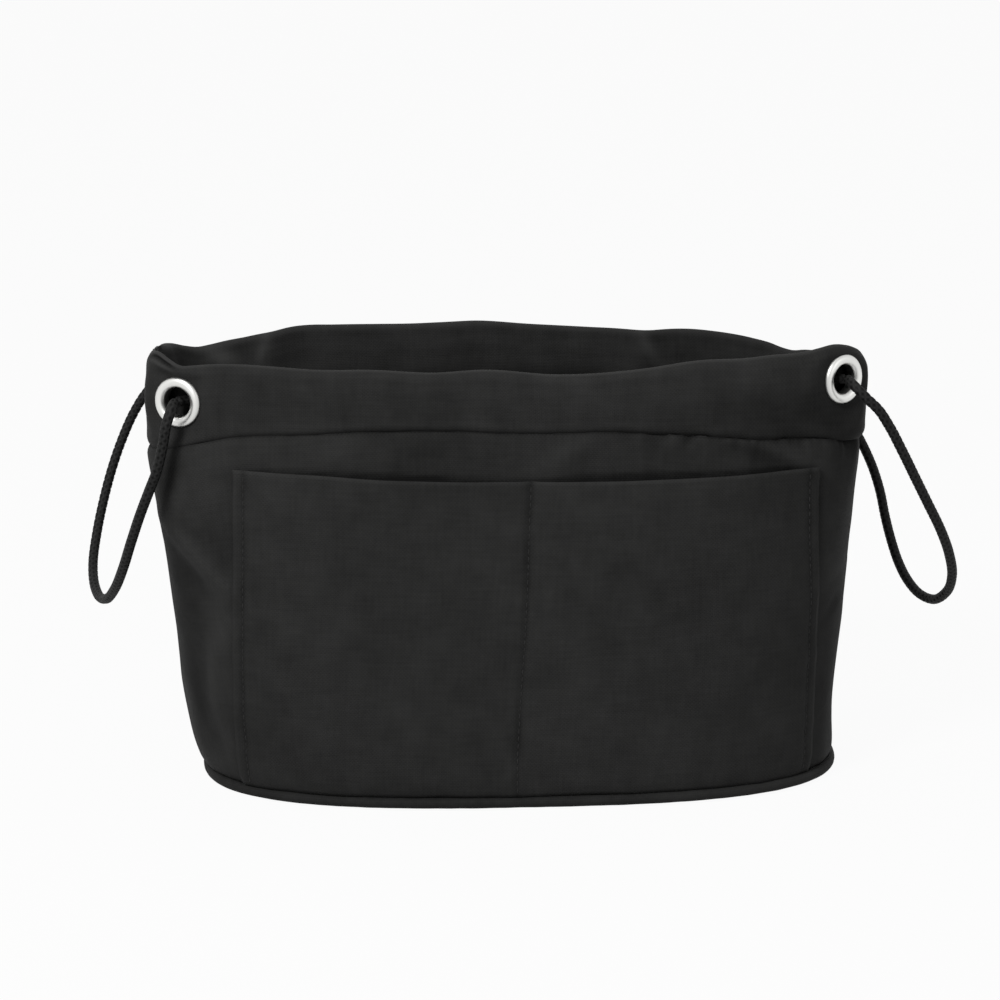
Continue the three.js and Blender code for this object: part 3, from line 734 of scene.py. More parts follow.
def thread_finish(name, colour):
    """Twisted sewing thread."""
    made, tree = new_material(name)
    place = tree.on_object()
    twist = tree.noise(place, 2600.0, 2.0)
    tree.surface(
        Base_Color=tree.blend(twist, tinted(colour, 0.7), tinted(colour, 1.6)),
        Roughness=0.55 + spread(twist, 0.2),
        Specular_IOR_Level=0.15,
        Normal=tree.bump(twist, 0.05 * MM, 0.6),
    )
    return made


def plate_finish(name, colour):
    """Polished nickel plate with faint rubbing marks, a few dull spots, and painted reflection and shade
    that darken the dome's sides.
    """
    made, tree = new_material(name)
    place = tree.on_object()
    rubbed = tree.noise(place, 420.0, 4.0, 0.6)
    dull = tree.noise(place, 90.0, 2.0)
    # Painted reflection and shade: the base colour darkens from the crown down the dome's sides
    crown = tree.stored("crown")
    tree.surface(
        Base_Color=tree.blend(crown + spread(dull, 0.3), tinted(colour, 0.42), tinted(colour, 1.06)),
        Metallic=1.0,
        Roughness=0.42 - crown * 0.08 + spread(rubbed, 0.12) + spread(dull, 0.12),
        Normal=tree.bump(rubbed, 0.02 * MM, 0.35),
    )
    return made


def padding_finish(name, colour, grain, roughness):
    """Foam interlining or pressed board: a fine open grain."""
    made, tree = new_material(name)
    place = tree.on_object()
    cells = tree.noise(place, grain, 3.0, 0.65)
    tree.surface(
        Base_Color=tree.blend(cells, tinted(colour, 0.7), tinted(colour, 1.35)),
        Roughness=roughness + spread(cells, 0.1),
        Specular_IOR_Level=0.25,
        Normal=tree.bump(cells, 0.12 * MM, 0.7),
    )
    return made


def floor_finish(name, colour):
    """Pale studio floor: white to the camera, with the object's soft shadow left on it."""
    made, tree = new_material(name)
    plain = tree.add("ShaderNodeBsdfDiffuse", None, {"Color": (*colour, 1.0)})
    white = tree.add("ShaderNodeEmission", None, {"Color": (1.0, 1.0, 1.0, 1.0), "Strength": 1.0})
    seen = direct_rays(tree) * 0.95
    shown = tree.add("ShaderNodeMixShader", None, {0: seen, 1: plain, 2: white})
    tree.add("ShaderNodeOutputMaterial", None, {"Surface": shown})
    return made


def direct_rays(tree):
    """1 for rays that show the backdrop: from the camera, in metal and through holes."""
    kinds = ("Is Camera Ray", "Is Glossy Ray", "Is Transmission Ray")
    camera, glossy, through = (tree.add("ShaderNodeLightPath", None, None, kind) for kind in kinds)
    return (camera + glossy + through).at_most(1.0)


FINISHES = {}


def finish_named(name):
    """The material of one finish, made the first time that it is asked for."""
    colours = bpy.context.scene.organizer_finish
    makers = {
        "nylon": lambda: woven_finish("black_nylon", colours.nylon, 0.55 * MM, 0.72),
        "lining": lambda: woven_finish("black_lining", colours.lining, 0.4 * MM, 0.62),
        "piping": lambda: woven_finish("bias_nylon", colours.nylon, 0.5 * MM, 0.72, math.radians(45)),
        "cord": lambda: braided_finish("black_braid", colours.cord),
        "thread": lambda: thread_finish("black_thread", colours.thread),
        "metal": lambda: plate_finish("nickel_plate", colours.metal),
        "foam": lambda: padding_finish("soft_foam", colours.foam, 1500.0, 0.9),
        "board": lambda: padding_finish("stiff_board", colours.board, 700.0, 0.6),
        "floor": lambda: floor_finish("studio_floor", colours.floor),
    }
    if name not in FINISHES:
        FINISHES[name] = makers[name]()
    return FINISHES[name]


# Pieces

def piece_from(mesh, name, finish):
    """A finished piece at the origin from a bmesh, with smooth faces and one finish."""
    data = bpy.data.meshes.new(name)
    mesh.to_mesh(data)
    mesh.free()
    data.shade_smooth()
    data.materials.append(finish_named(finish))
    piece = bpy.data.objects.new(name, data)
    bpy.context.scene.collection.objects.link(piece)
    return piece


def fit_in_frame(piece, body, slot, *nodes):
    """Lets a piece ride on its body in place of its solids."""
    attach(piece, body)
    if nodes:
        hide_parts(*nodes)
    return piece


def finish_node(name, finish):
    """Gives a solid that is shown as it is its finish."""
    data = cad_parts[name].data
    data.materials.clear()
    data.materials.append(finish_named(finish))


def thicken(piece, thickness):
    """Gives a sheet its thickness, inwards from its outer face."""
    wall = piece.modifiers.new("thickness", "SOLIDIFY")
    wall.thickness = thickness
    wall.offset = -1.0
    return piece


def unit_grid(columns, rows):
    """A flat grid, and the shares across and up of its points."""
    mesh = bmesh.new()
    bmesh.ops.create_grid(mesh, x_segments=columns, y_segments=rows, size=0.5)
    mesh.verts.index_update()
    return mesh, np.clip(np.array([vert.co.xy for vert in mesh.verts]) + 0.5, 0, 1)


def lay_grid(mesh, points, flat_points, layer, values):
    """Moves a grid's points, lays its texture out flat and stores a value at each point."""
    texture = mesh.loops.layers.uv.new("cloth")
    for face in mesh.faces:
        for loop in face.loops:
            loop[texture].uv = flat_points[loop.vert.index]
    stored = mesh.verts.layers.float.new(layer)
    for vert, point, value in zip(mesh.verts, points, values):
        vert.co = point
        vert[stored] = value


def grid_sheet(columns, rows, place, flat_size, tint=None):
    """A grid laid on a surface: place turns shares across and up into points, and tint gives the painted
    light and shade stored at them.
    """
    mesh, shares = unit_grid(columns, rows)
    points = place(shares[:, 0], shares[:, 1])
    tints = np.zeros(len(points)) if tint is None else tint(shares[:, 0], shares[:, 1])
    lay_grid(mesh, points, shares * flat_size, "painted_light", tints)
    return mesh


def wall_sheet(form, side, inset, columns, rows):
    """One layer of one face's wall, up to the channel's seam. Inner layers meet at the sides."""
    seam = SIDE_SEAM_GAP / form.rim_length if inset == 0 else 0.0
    foot = CLOTH_FOOT if inset == 0 else WALL_BOTTOM

    def lay(across, up):
        along = face_along(side, mix(seam, 1 - seam, across))
        return along, mix(foot, seam_height(along), up)

    def place(across, up):
        along, height = lay(across, up)
        return form.place(along, height, wall_relief(form, along, height) - inset)

    def tint(across, up):
        # Painted light and shade: from the relief, from the front's painted light and shadow, and the
        # painted shade behind the pocket
        along, height = lay(across, up)
        behind = behind_pocket(form, side, along, height) if inset == 0 else 0.0
        folds = np.clip(wall_relief(form, along, height) / TINT_DEPTH, -TINT_LIMIT, TINT_LIMIT)
        return folds + cloth_tint(form.place(along, height), FRONT_PAINTED_LIGHT) - behind

    flat_size = (form.rim_length / 2, form.sizes.wall_height)
    return grid_sheet(columns, rows, place, flat_size, tint)


def behind_pocket(form, side, along, height):
    """How deep the shade is where the wall lies behind its patch pocket."""
    out_from_middle = (along - FACE_MIDDLE[side]) * form.length_at(height)
    seen_from_left = out_from_middle if side == "front" else -out_from_middle
    inside = within(seen_from_left, SHADE_LEFT, SHADE_RIGHT)
    share = np.clip(seen_from_left / SHADE_HALF_WIDTH, -1, 1)
    mouth = smooth_line(*zip(*POCKET_MOUTH), share) * MM
    mouth = mouth + SHADE_RISE * np.sin(np.pi * np.abs(share) ** 0.7) ** 2
    return POCKET_SHADE * inside * smooth_step(SHADE_EDGE, -SHADE_EDGE, height - mouth)


def mouth_gape(depth, rise, up, share):
    """How far a double pocket's two mouths stand off, by the shares up and across."""
    return depth * up ** rise * np.sin(np.pi * np.abs(share)) ** GAPE_ROUNDNESS


def pocket_sizes():
    """The sizes of the pockets."""
    return bpy.context.scene.organizer_pocket


def rotation_to(direction):
    """A turn that brings +Z to a direction."""
    return Vector(direction).to_track_quat("Z", "Y").to_matrix().to_4x4()


class Seat:
    """Where an eyelet sits: its point on the cloth, the way out and the way along the rim."""

    def __init__(self, corner):
        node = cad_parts[f"{corner}_eyelet"]
        points = np.array([vert.co for vert in node.data.vertices])
        middle = points.mean(axis=0)
        out = np.linalg.svd(points - middle, full_matrices=False)[2][2]
        if out[0] * middle[0] < 0:
            out = -out
        crown = ((points - middle) @ out).max()
        self.out = out
        self.point = middle + out * (crown - bpy.context.scene.organizer_eyelet.crown)
        self.along_rim = np.cross((0.0, 0.0, 1.0), out)
        self.front = middle[1] < 0

    def at(self, out, sideways=0.0):
        """A point out of the cloth and along the rim, anticlockwise seen from above."""
        return self.point + self.out * out + self.along_rim * sideways


def seats():
    """The seats of all four eyelets, by corner."""
    return {corner: Seat(corner) for corner in CORNERS}


def ring_frames(path, closed=False):
    """Two directions square to a path at each of its points, turning as little as possible."""
    ahead = np.gradient(path, axis=0)
    if closed:
        ahead[0] = ahead[-1] = path[1] - path[-2]
    ahead /= np.linalg.norm(ahead, axis=1, keepdims=True)
    side = np.cross(ahead[0], (0.0, 0.0, 1.0))
    if np.linalg.norm(side) < 0.1:
        side = np.cross(ahead[0], (0.0, 1.0, 0.0))
    sides = []
    for direction in ahead:
        side = side - direction * (side @ direction)
        side = side / np.linalg.norm(side)
        sides.append(side)
    sides = np.array(sides)
    return sides, np.cross(ahead, sides)


def tube(path, sides, radius_at, closed=False):
    """A round tube along a path. radius_at gives the radius and the strand tone by distance and turn."""
    walked = walked_along(path)
    first, second = ring_frames(path, closed)
    last = len(path) - 1
    mesh, shares = unit_grid(last, sides)
    ring = np.rint(shares[:, 0] * last).astype(int)
    turn = 2 * np.pi * shares[:, 1]
    radius, strand = radius_at(walked[ring], turn, walked[-1])
    points = path[ring] + radius[:, None] * (
        np.cos(turn)[:, None] * first[ring] + np.sin(turn)[:, None] * second[ring]
    )
    girth = np.pi * 2 * radius.max()
    lay_grid(mesh, points, np.column_stack([walked[ring], shares[:, 1] * girth]), "strand", strand)
    bmesh.ops.remove_doubles(mesh, verts=mesh.verts[:], dist=WELD_DISTANCE)
    ends = [edge for edge in mesh.edges if edge.is_boundary]
    bmesh.ops.holes_fill(mesh, edges=ends, sides=0)
    bmesh.ops.recalc_face_normals(mesh, faces=mesh.faces[:])
    return mesh


def braid(cord, blunt=None):
    """The radius and tone of a braided cord with round or nearly blunt ends, by distance and turn."""
    radius = cord.diameter / 2

    def radius_at(walked, turn, length):
        rounded = radius if blunt is None else blunt
        around = cord.strands * turn / 2
        along = np.pi * cord.strands * walked / cord.lay
        one_way = np.abs(np.sin(around + along))
        other_way = np.abs(np.sin(around - along))
        over = 0.5 + 0.5 * np.sin(2 * along) * np.sin(2 * around)
        strand = np.maximum(one_way * mix(BRAID_UNDER, 1.0, over), other_way * mix(1.0, BRAID_UNDER, over))
        from_end = np.minimum(walked, length - walked)
        rounding = np.sqrt(np.clip(1 - (1 - np.clip(from_end / rounded, SMALLEST_RING, 1)) ** 2, 0, 1))
        return radius * rounding * (BRAID_FULLNESS - cord.relief * (1 - strand)), strand

    return radius_at


def stitch_row(mesh, points, outward, sizes):
    """A row of short threads along evenly spaced points, each half sunk in the cloth."""
    for here, ahead, out in zip(points[:-1], points[1:], outward[:-1]):
        way = Vector(ahead - here).normalized()
        side = way.cross(Vector(out)).normalized()
        up = side.cross(way)
        turn = Matrix((way, side, up)).transposed().to_4x4()
        middle = Vector((here + ahead) / 2)
        size = Matrix.Diagonal((sizes.stitch_length / 2, sizes.thread / 2, sizes.thread / 2, 1.0))
        bmesh.ops.create_uvsphere(
            mesh,
            u_segments=THREAD_SIDES,
            v_segments=THREAD_SIDES,
            radius=1.0,
            matrix=Matrix.Translation(middle) @ turn @ size,
        )


def upright_stitches(name, slot, height, half_width, shares, place):
    """A pocket's three upright rows of stitches. place gives points and raised points by shares."""
    sizes = pocket_sizes()
    mesh = bmesh.new()
    up = np.linspace(*shares, round(height / sizes.stitch_pitch) + 1)
    edge = sizes.hem / half_width / 2
    for across in (edge, 0.5, 1 - edge):
        points, raised = place(np.full_like(up, across), up)
        stitch_row(mesh, points, raised - points, sizes)
    fit_in_frame(piece_from(mesh, name, "thread"), "bag", slot)


# Operators

class ORGANIZER_OT_stage(bpy.types.Operator):
    """Makes the camera, the pale floor, the white backdrop and the soft lights"""

    bl_idname = "organizer.stage"
    bl_label = "Stage"

    AIM = Vector((4.3, 0.0, 70.0)) * MM
    DISTANCE = 1.0
    AZIMUTH = math.radians(-3.7)
    ELEVATION = math.radians(13.5)
    LENS = 120.0
    SHIFT = (-0.019, 0.033)
    AMBIENT = 0.3
    FLOOR_HALF_WIDTH = 9.0
    FLOOR_DROP = 0.3 * MM
    LAMPS = (
        ("key_lamp", (-0.5, -0.8, 0.85), 0.32, 10.5),
        ("fill_lamp", (1.1, -0.9, 0.6), 0.9, 1.2),
        ("top_lamp", (-0.1, 0.1, 1.3), 0.8, 2.0),
    )

    def execute(self, context):
        self.add_camera(context)
        self.add_floor()
        self.add_world(context)
        for name, place, size, power in self.LAMPS:
            self.add_lamp(context, name, Vector(place), size, power)
        context.scene.view_settings.view_transform = "Standard"
        return {"FINISHED"}

    def add_camera(self, context):
        """The camera that sees the object as the photo does."""
        data = bpy.data.cameras.new("photo_camera")
        data.lens = self.LENS
        data.shift_x, data.shift_y = self.SHIFT
        camera = bpy.data.objects.new("photo_camera", data)
        flat = math.cos(self.ELEVATION)
        sideways, ahead = math.sin(self.AZIMUTH) * flat, math.cos(self.AZIMUTH) * flat
        back = Vector((sideways, -ahead, math.sin(self.ELEVATION)))
        camera.location = self.AIM + back * self.DISTANCE
        camera.rotation_euler = (-back).to_track_quat("-Z", "Y").to_euler()
        context.scene.collection.objects.link(camera)
        context.scene.camera = camera

    def add_floor(self):
        """The floor, a hair below the object."""
        mesh = bmesh.new()
        bmesh.ops.create_grid(mesh, x_segments=1, y_segments=1, size=self.FLOOR_HALF_WIDTH)
        bmesh.ops.translate(mesh, verts=mesh.verts[:], vec=(0.0, 0.0, -self.FLOOR_DROP))
        piece_from(mesh, "studio_floor", "floor")

    def add_world(self, context):
        """Soft light from all round, with a white backdrop for what is seen directly."""
        world = bpy.data.worlds.new("white_studio")
        world.use_nodes = True
        tree = Tree(world.node_tree)
        strength = self.AMBIENT + direct_rays(tree) * (1.0 - self.AMBIENT)
        sky = tree.add("ShaderNodeBackground", None, {"Color": (1.0, 1.0, 1.0, 1.0), "Strength": strength})
        tree.add("ShaderNodeOutputWorld", None, {"Surface": sky})
        context.scene.world = world

    def add_lamp(self, context, name, place, size, power):
        """A round soft lamp that points at the object."""
        data = bpy.data.lights.new(name, "AREA")
        data.shape = "DISK"
        data.size = size
        data.energy = power
        lamp = bpy.data.objects.new(name, data)
        lamp.location = place
        lamp.rotation_euler = (self.AIM - place).to_track_quat("-Z", "Y").to_euler()
        context.scene.collection.objects.link(lamp)


class ORGANIZER_OT_cord_loops(bpy.types.Operator):
    """Makes the drawcord's two hanging loops"""

    bl_idname = "organizer.cord_loops"
    bl_label = "Cord loops"

    PIVOT_ABOVE_CROWN = 0.8 * MM
    RING_SPACING = 0.36 * MM
    STATED_EVERY = 4
    RING_SIDES = 24
    ROUTES = {"left": LEFT_LOOP_ROUTE, "right": RIGHT_LOOP_ROUTE}

    def execute(self, context):
        cord = context.scene.organizer_cord
        places = seats()
        pivot_height = context.scene.organizer_eyelet.crown + self.PIVOT_ABOVE_CROWN
        for side, route in self.ROUTES.items():
            front = places[f"front_{side}"].at(pivot_height)
            back = places[f"back_{side}"].at(pivot_height)
            offsets = np.array(route) * MM + (front + back) / 2
            path = smooth_path([front, *offsets, back], self.RING_SPACING)
            path = self.with_ball_ends(path, cord.diameter / 2)
            mesh = tube(path, self.RING_SIDES, braid(cord))
            loop = piece_from(mesh, f"{side}_hanging_cord", "cord")
            fit_in_frame(loop, f"{side}_loop", "cord", f"{side}_cord_loop")
            length = float(walked_along(path)[-1])
        return {"FINISHED"}

    def with_ball_ends(self, path, radius):
        """The path made longer at both ends, so that a ball closes the cord about each pivot."""
        steps = np.arange(round(radius / self.RING_SPACING), 0, -1)[:, None] * self.RING_SPACING
        start, end = path[0] - path[2], path[-1] - path[-3]
        start, end = start / np.linalg.norm(start), end / np.linalg.norm(end)
        return np.concatenate([path[0] + start * steps, path, path[-1] + end * steps[::-1]])


class ORGANIZER_OT_cord_runs(bpy.types.Operator):
    """Makes the drawcord's runs inside the channel, from the eyelets' throats"""

    bl_idname = "organizer.cord_runs"
    bl_label = "Cord runs"

    THROAT_OUT = 0.5 * MM
    THROAT_STEP = 1.5 * MM
    THROAT_BEND = 2 * MM
    THROAT_BEND_END = 5 * MM
    BEND_DEPTH = 4.05 * MM
    DEPTH = 4.8 * MM
    MIDDLE_DEPTH = 3.9 * MM
    JOIN_GAP = 0.3 * MM
    END_ROUNDING = 0.5 * MM
    RING_SPACING = 0.5 * MM
    RING_SIDES = 16
    STOPS = (0.1, 0.2, 0.35, 0.5, 0.65, 0.8, 0.9)
    HALF_STOPS = (0.1, 0.2, 0.35, 0.475)

    def execute(self, context):
        form = BagForm(context.scene.organizer_bag)
        places = seats()
        front = self.throat(places["front_left"], 1)
        front += self.channel_points(form, places["front_left"], places["front_right"], self.STOPS)
        front += reversed(self.throat(places["front_right"], -1))
        self.add_run("front_run_of_cord", front, "front_cord_run")
        for side, other, turn in (("left", "right", -1), ("right", "left", 1)):
            seat, far_seat = places[f"back_{side}"], places[f"back_{other}"]
            stops = (*self.HALF_STOPS, self.join_stop(seat, far_seat))
            half = self.throat(seat, turn) + self.channel_points(form, seat, far_seat, stops)
            self.add_run(f"back_{side}_run_of_cord", half, f"back_{side}_cord_run")
        finish_node("cord_joiner", "metal")
        return {"FINISHED"}

    def throat(self, seat, turn):
        """The way in through an eyelet and round into the channel."""
        return [
            seat.at(self.THROAT_OUT),
            seat.at(self.THROAT_OUT - self.THROAT_STEP),
            seat.at(-self.BEND_DEPTH, turn * self.THROAT_BEND),
            seat.at(-self.DEPTH, turn * self.THROAT_BEND_END),
        ]

    def along_of(self, form, seat):
        """The share of the way round where a seat lies."""
        apart = np.linalg.norm(form.table[-1] - seat.point[:2], axis=1)
        return apart.argmin() / form.STATIONS

    def join_stop(self, seat, far_seat):
        """The share of the way between two seats where a run ends at the join."""
        span = np.linalg.norm(seat.point - far_seat.point)
        return 0.5 - self.JOIN_GAP / 2 / span

    def channel_points(self, form, seat, far_seat, stops):
        """The way along the channel, which settles to its middle between two eyelets."""
        start, end = self.along_of(form, seat), self.along_of(form, far_seat)
        half_way = np.array([(start + end) / 2])
        middle = (seam_height(half_way) + rim_height(half_way))[0] / 2
        points = []
        for stop in stops:
            settle = math.sin(math.pi * stop)
            height = mix(mix(seat.point[2], far_seat.point[2], stop), middle, settle)
            depth = mix(self.DEPTH, self.MIDDLE_DEPTH, settle)
            points.append(form.place(mix(start, end, stop), height, -depth)[0])
        return points

    def add_run(self, name, points, node):
        """One run of the cord through the given points, in place of its solid."""
        path = smooth_path(points, self.RING_SPACING)
        mesh = tube(path, self.RING_SIDES, braid(bpy.context.scene.organizer_cord, self.END_ROUNDING))
        fit_in_frame(piece_from(mesh, name, "cord"), "bag", "cord", node)


class ORGANIZER_OT_eyelets(bpy.types.Operator):
    """Makes the four domed eyelets and finishes the washers behind them"""

    bl_idname = "organizer.eyelets"
    bl_label = "Eyelets"

    STEPS = 72
    DOME_STEPS = 16
    DOME_START = 0.2 * MM
    BORE_EDGE = 0.15 * MM
    FILLET = 0.2 * MM
    WALL = 0.5 * MM
    LIP = 0.9 * MM
    LIP_THICKNESS = 0.6 * MM
    FOOT = 0.12 * MM

    def execute(self, context):
        for corner, seat in seats().items():
            mesh = bmesh.new()
            profile = [mesh.verts.new((radius, 0.0, height)) for radius, height in self.profile()]
            edges = [mesh.edges.new(pair) for pair in zip(profile, profile[1:] + profile[:1])]
            bmesh.ops.spin(
                mesh,
                geom=profile + edges,
                cent=(0.0, 0.0, 0.0),
                axis=(0.0, 0.0, 1.0),
                angle=2 * math.pi,
                steps=self.STEPS,
                use_merge=True,
            )
            bmesh.ops.recalc_face_normals(mesh, faces=mesh.faces[:])
            # The share of the crown's height at each point, which the plate finish paints as shade lower on
            # the dome
            crown = mesh.verts.layers.float.new("crown")
            for vert in mesh.verts:
                vert[crown] = max(0.0, vert.co.z / context.scene.organizer_eyelet.crown)
            place = Matrix.Translation(Vector(seat.point)) @ rotation_to(seat.out)
            bmesh.ops.transform(mesh, matrix=place, verts=mesh.verts[:])
            eyelet = piece_from(mesh, f"{corner}_domed_eyelet", "metal")
            fit_in_frame(eyelet, "bag", "metal", f"{corner}_eyelet")
            finish_node(f"{corner}_washer", "metal")
        return {"FINISHED"}

    def profile(self):
        """The eyelet's closed section: up the bore, over the dome and down the barrel to its rolled lip."""
        sizes = bpy.context.scene.organizer_eyelet
        bore, edge = sizes.bore / 2, sizes.diameter / 2
        dome_middle, dome_half = (bore + edge) / 2, (edge - bore) / 2
        section = [(bore, -sizes.barrel), (bore, self.BORE_EDGE)]
        for step in range(self.DOME_STEPS + 1):
            angle = math.pi * (1 - step / self.DOME_STEPS)
            lift = self.DOME_START + (sizes.crown - self.DOME_START) * math.sin(angle)
            section.append((dome_middle + dome_half * math.cos(angle), lift))
        barrel = bore + self.WALL
        section += [
            (edge, self.FOOT),
            (barrel + self.FILLET, self.FOOT),
            (barrel, 0.0),
            (barrel, -sizes.barrel + self.LIP_THICKNESS),
            (barrel + self.LIP, -sizes.barrel + self.LIP_THICKNESS),
            (barrel + self.LIP, -sizes.barrel),
        ]
        return section


class ORGANIZER_OT_channels(bpy.types.Operator):
    """Makes the folded cord channel round the rim, with a hole at each eyelet"""

    bl_idname = "organizer.channels"
    bl_label = "Channels"

    COLUMNS = 250
    ROWS = 120
    SECTION_HEIGHT = 22 * MM
    SECTION_SPACING = 0.2 * MM
    OVERLAP = 0.5 * MM
    HOLE = 5.2 * MM
    HOLE_DEPTH = 1.0 * MM
    FLAT_RADIUS = 8.0 * MM
    FLAT_FADE = 15.0 * MM
    FLAT_DEPTH = 5.0 * MM
    INNER_FACE = 5.0 * MM
    # Painted shade on the channel's inner face, and painted light low on the back channel's inner face
    INNER_SHADE = 0.45
    INNER_GLOW = 0.3
    # Painted highlight along the crest of the fold: start and end share up, and strength
    CREST = {"front": (0.965, 0.99, 0.75), "back": (0.9, 1.0, 0.35)}
    CREST_REACH = (0.8, 0.96)
    # Painted shade along the seam, and the low part of the back's inner face that gets painted light
    SEAM_SHADE = 0.4
    SEAM_SHADE_REACH = (0.06, 0.0)
    LOW_PART = (0.65, 0.3)
    GATHERS = ((1.0, (30 * MM, 46 * MM, 1), 6), (0.6, (12 * MM, 30 * MM, 1), 7))
    GATHER_SHARE = 0.7
    GATHER_LEAN = 0.25
    PUCKER_SHARE = 0.8
    PUCKER_SIZE = (6 * MM, 20 * MM, 1)
    PUCKER_REACH = 6 * MM
    BULGE = 1.3 * MM
    BULGE_START = (0.66, 0.76)
    BULGE_END = (0.88, 0.8)
    BULGE_HEIGHT = 16 * MM
    BULGE_HALF_HEIGHT = 7 * MM
    GROOVE = 1.2 * MM
    SIDE_TUCK = (0.9 * MM, 1.6 * MM)
    CORNER_AT = 0.143
    CORNER_HALF_WIDTH = 0.018
    CORNER_EDGES = (0.0, 1.3 * MM, 2.4 * MM)
    EDGE_WIDTH = 0.5 * MM
    # Painted highlights on the corner's two fold edges, and painted shade in the groove between them
    EDGE_TINT = 1.1
    GROOVE_TINT = 1.0
    EMPTY_THICKNESS = 4.1 * MM
    EMPTY_TAPER = 1.7 * MM
    EMPTY_TAPER_REACH = (0.25, 0.9)
    EMPTY_REACH = (18 * MM, 32 * MM)

    def execute(self, context):
        form = BagForm(context.scene.organizer_bag)
        places = seats()
        for side in SIDES:
            here = [seat for seat in places.values() if seat.front == (side == "front")]
            mesh = self.channel(form, side, here)
            for seat in here:
                self.cut_hole(mesh, seat)
            piece = thicken(piece_from(mesh, f"{side}_cord_channel", "nylon"), NYLON)
            fit_in_frame(piece, "bag", "nylon", f"{side}_channel")
            flat = (form.rim_length / 2, self.girth())
        return {"FINISHED"}

    def section(self):
        """The section's points as metres in and shares up, evenly spaced round it."""
        corners = np.array(CHANNEL_SECTION + CHANNEL_SECTION[:1])
        corners = np.column_stack([corners * (MM, self.SECTION_HEIGHT), np.zeros(len(corners))])
        path = smooth_path(corners, self.SECTION_SPACING)
        walked = np.linspace(0, 1, len(path))
        return walked, path[:, 0], path[:, 1] / self.SECTION_HEIGHT

    def girth(self):
        """The length round the section, which is the cloth's flat width."""
        walked, inset, up = self.section()
        return float(np.hypot(np.diff(inset), np.diff(up * self.SECTION_HEIGHT)).sum())

    def channel(self, form, side, here):
        """One face's channel, flat behind its eyelets."""
        seam = SIDE_SEAM_GAP / form.rim_length
        walked, insets, shares = self.section()

        def lay(across, up):
            along = face_along(side, mix(seam, 1 - seam, across))
            inset = np.interp(up, walked, insets)
            share = np.interp(up, walked, shares)
            empty = 1 - smooth_step(*self.EMPTY_REACH, side_distance(form, along))
            thickness = self.EMPTY_THICKNESS - self.EMPTY_TAPER * smooth_step(*self.EMPTY_TAPER_REACH, share)
            inset = mix(inset, np.minimum(inset, thickness), empty)
            bottom = seam_height(along) - self.OVERLAP
            return along, bottom, inset, share

        def place(across, up):
            along, bottom, inset, share = lay(across, up)
            height = mix(bottom, rim_height(along), share)
            relief = self.relief(form, along, height, bottom, inset)
            points = form.place(along, height, relief - inset)
            outer = (inset < OUTER_FACE) * (1 - smooth_step(*self.CREST_REACH, share))
            for seat in here:
                points = self.flatten(points, seat, outer)
            return points

        def tint(across, up):
            # Painted light and shade on the channel: crest highlight, seam shade, corner highlights and
            # groove shade, the painted light of front and back, and inner shade
            along, bottom, inset, share = lay(across, up)
            start, end, crest = self.CREST[side]
            painted_light = crest * smooth_step(start, end, share)
            painted_light = painted_light - self.SEAM_SHADE * smooth_step(*self.SEAM_SHADE_REACH, share)
            height = mix(bottom, rim_height(along), share)
            edges, groove = self.corner_fold(along, height, inset)
            painted_light = painted_light + self.EDGE_TINT * edges - self.GROOVE_TINT * groove
            points = form.place(along, height)
            outer_tint, inner_tint = cloth_tint(points, FRONT_PAINTED_LIGHT), cloth_tint(points, BACK_PAINTED_HIGHLIGHTS, 1)
            painted_light = painted_light + np.where(inset < OUTER_FACE, outer_tint, inner_tint)
            low = smooth_step(*self.LOW_PART, share) if side == "back" else 0.0
            inner = smooth_step(OUTER_FACE, self.INNER_FACE, inset)
            return painted_light + inner * mix(-self.INNER_SHADE, self.INNER_GLOW, low)

        flat_size = (form.rim_length / 2, self.girth())
        mesh = grid_sheet(self.COLUMNS, self.ROWS, place, flat_size, tint)
        bmesh.ops.remove_doubles(mesh, verts=mesh.verts[:], dist=WELD_DISTANCE)
        return mesh

    def relief(self, form, along, height, bottom, inset):
        """Gathers across the channel, and small puckers where it is sewn to the wall."""
        sizes = form.sizes
        walked = along * form.rim_length
        strip = np.column_stack([walked, height, inset * 0.5])
        share = (2 * along) % 1.0
        above_seam = height - bottom
        gathers = self.GATHER_SHARE * sizes.slack * ripples(strip, self.GATHERS)
        for at, half_width, depth in BACK_GATHERS:
            apart = (share - at) * form.rim_length / 2 + self.GATHER_LEAN * above_seam
            gathers -= (along >= 0.5) * depth * MM * bell(apart, half_width * MM)
        puckers = self.PUCKER_SHARE * sizes.pucker * ripple(strip, self.PUCKER_SIZE, 8)
        puckers = puckers * fading(above_seam, self.PUCKER_REACH)
        groove = self.corner_fold(along, height, inset)[1]
        outer = (along < 0.5) * (inset < OUTER_FACE)
        bulge = self.BULGE * within(share, self.BULGE_START, self.BULGE_END)
        bulge = bulge * bell(above_seam - self.BULGE_HEIGHT, self.BULGE_HALF_HEIGHT)
        folds = outer * bulge - self.GROOVE * groove
        return gathers + puckers + folds - tuck(side_distance(form, along), *self.SIDE_TUCK)

    def corner_fold(self, along, height, inset):
        """The folded corner at the front left: its two edges, which only get painted highlights, and the
        groove between them, which is sunk and gets painted shade.
        """
        below_rim = rim_height(along) - height
        across = (2 * along - self.CORNER_AT) / self.CORNER_HALF_WIDTH
        here = np.exp(-(across ** 4)) * (inset < OUTER_FACE)
        first, between, second = (bell(below_rim - at, self.EDGE_WIDTH) for at in self.CORNER_EDGES)
        return here * (first + second), here * between

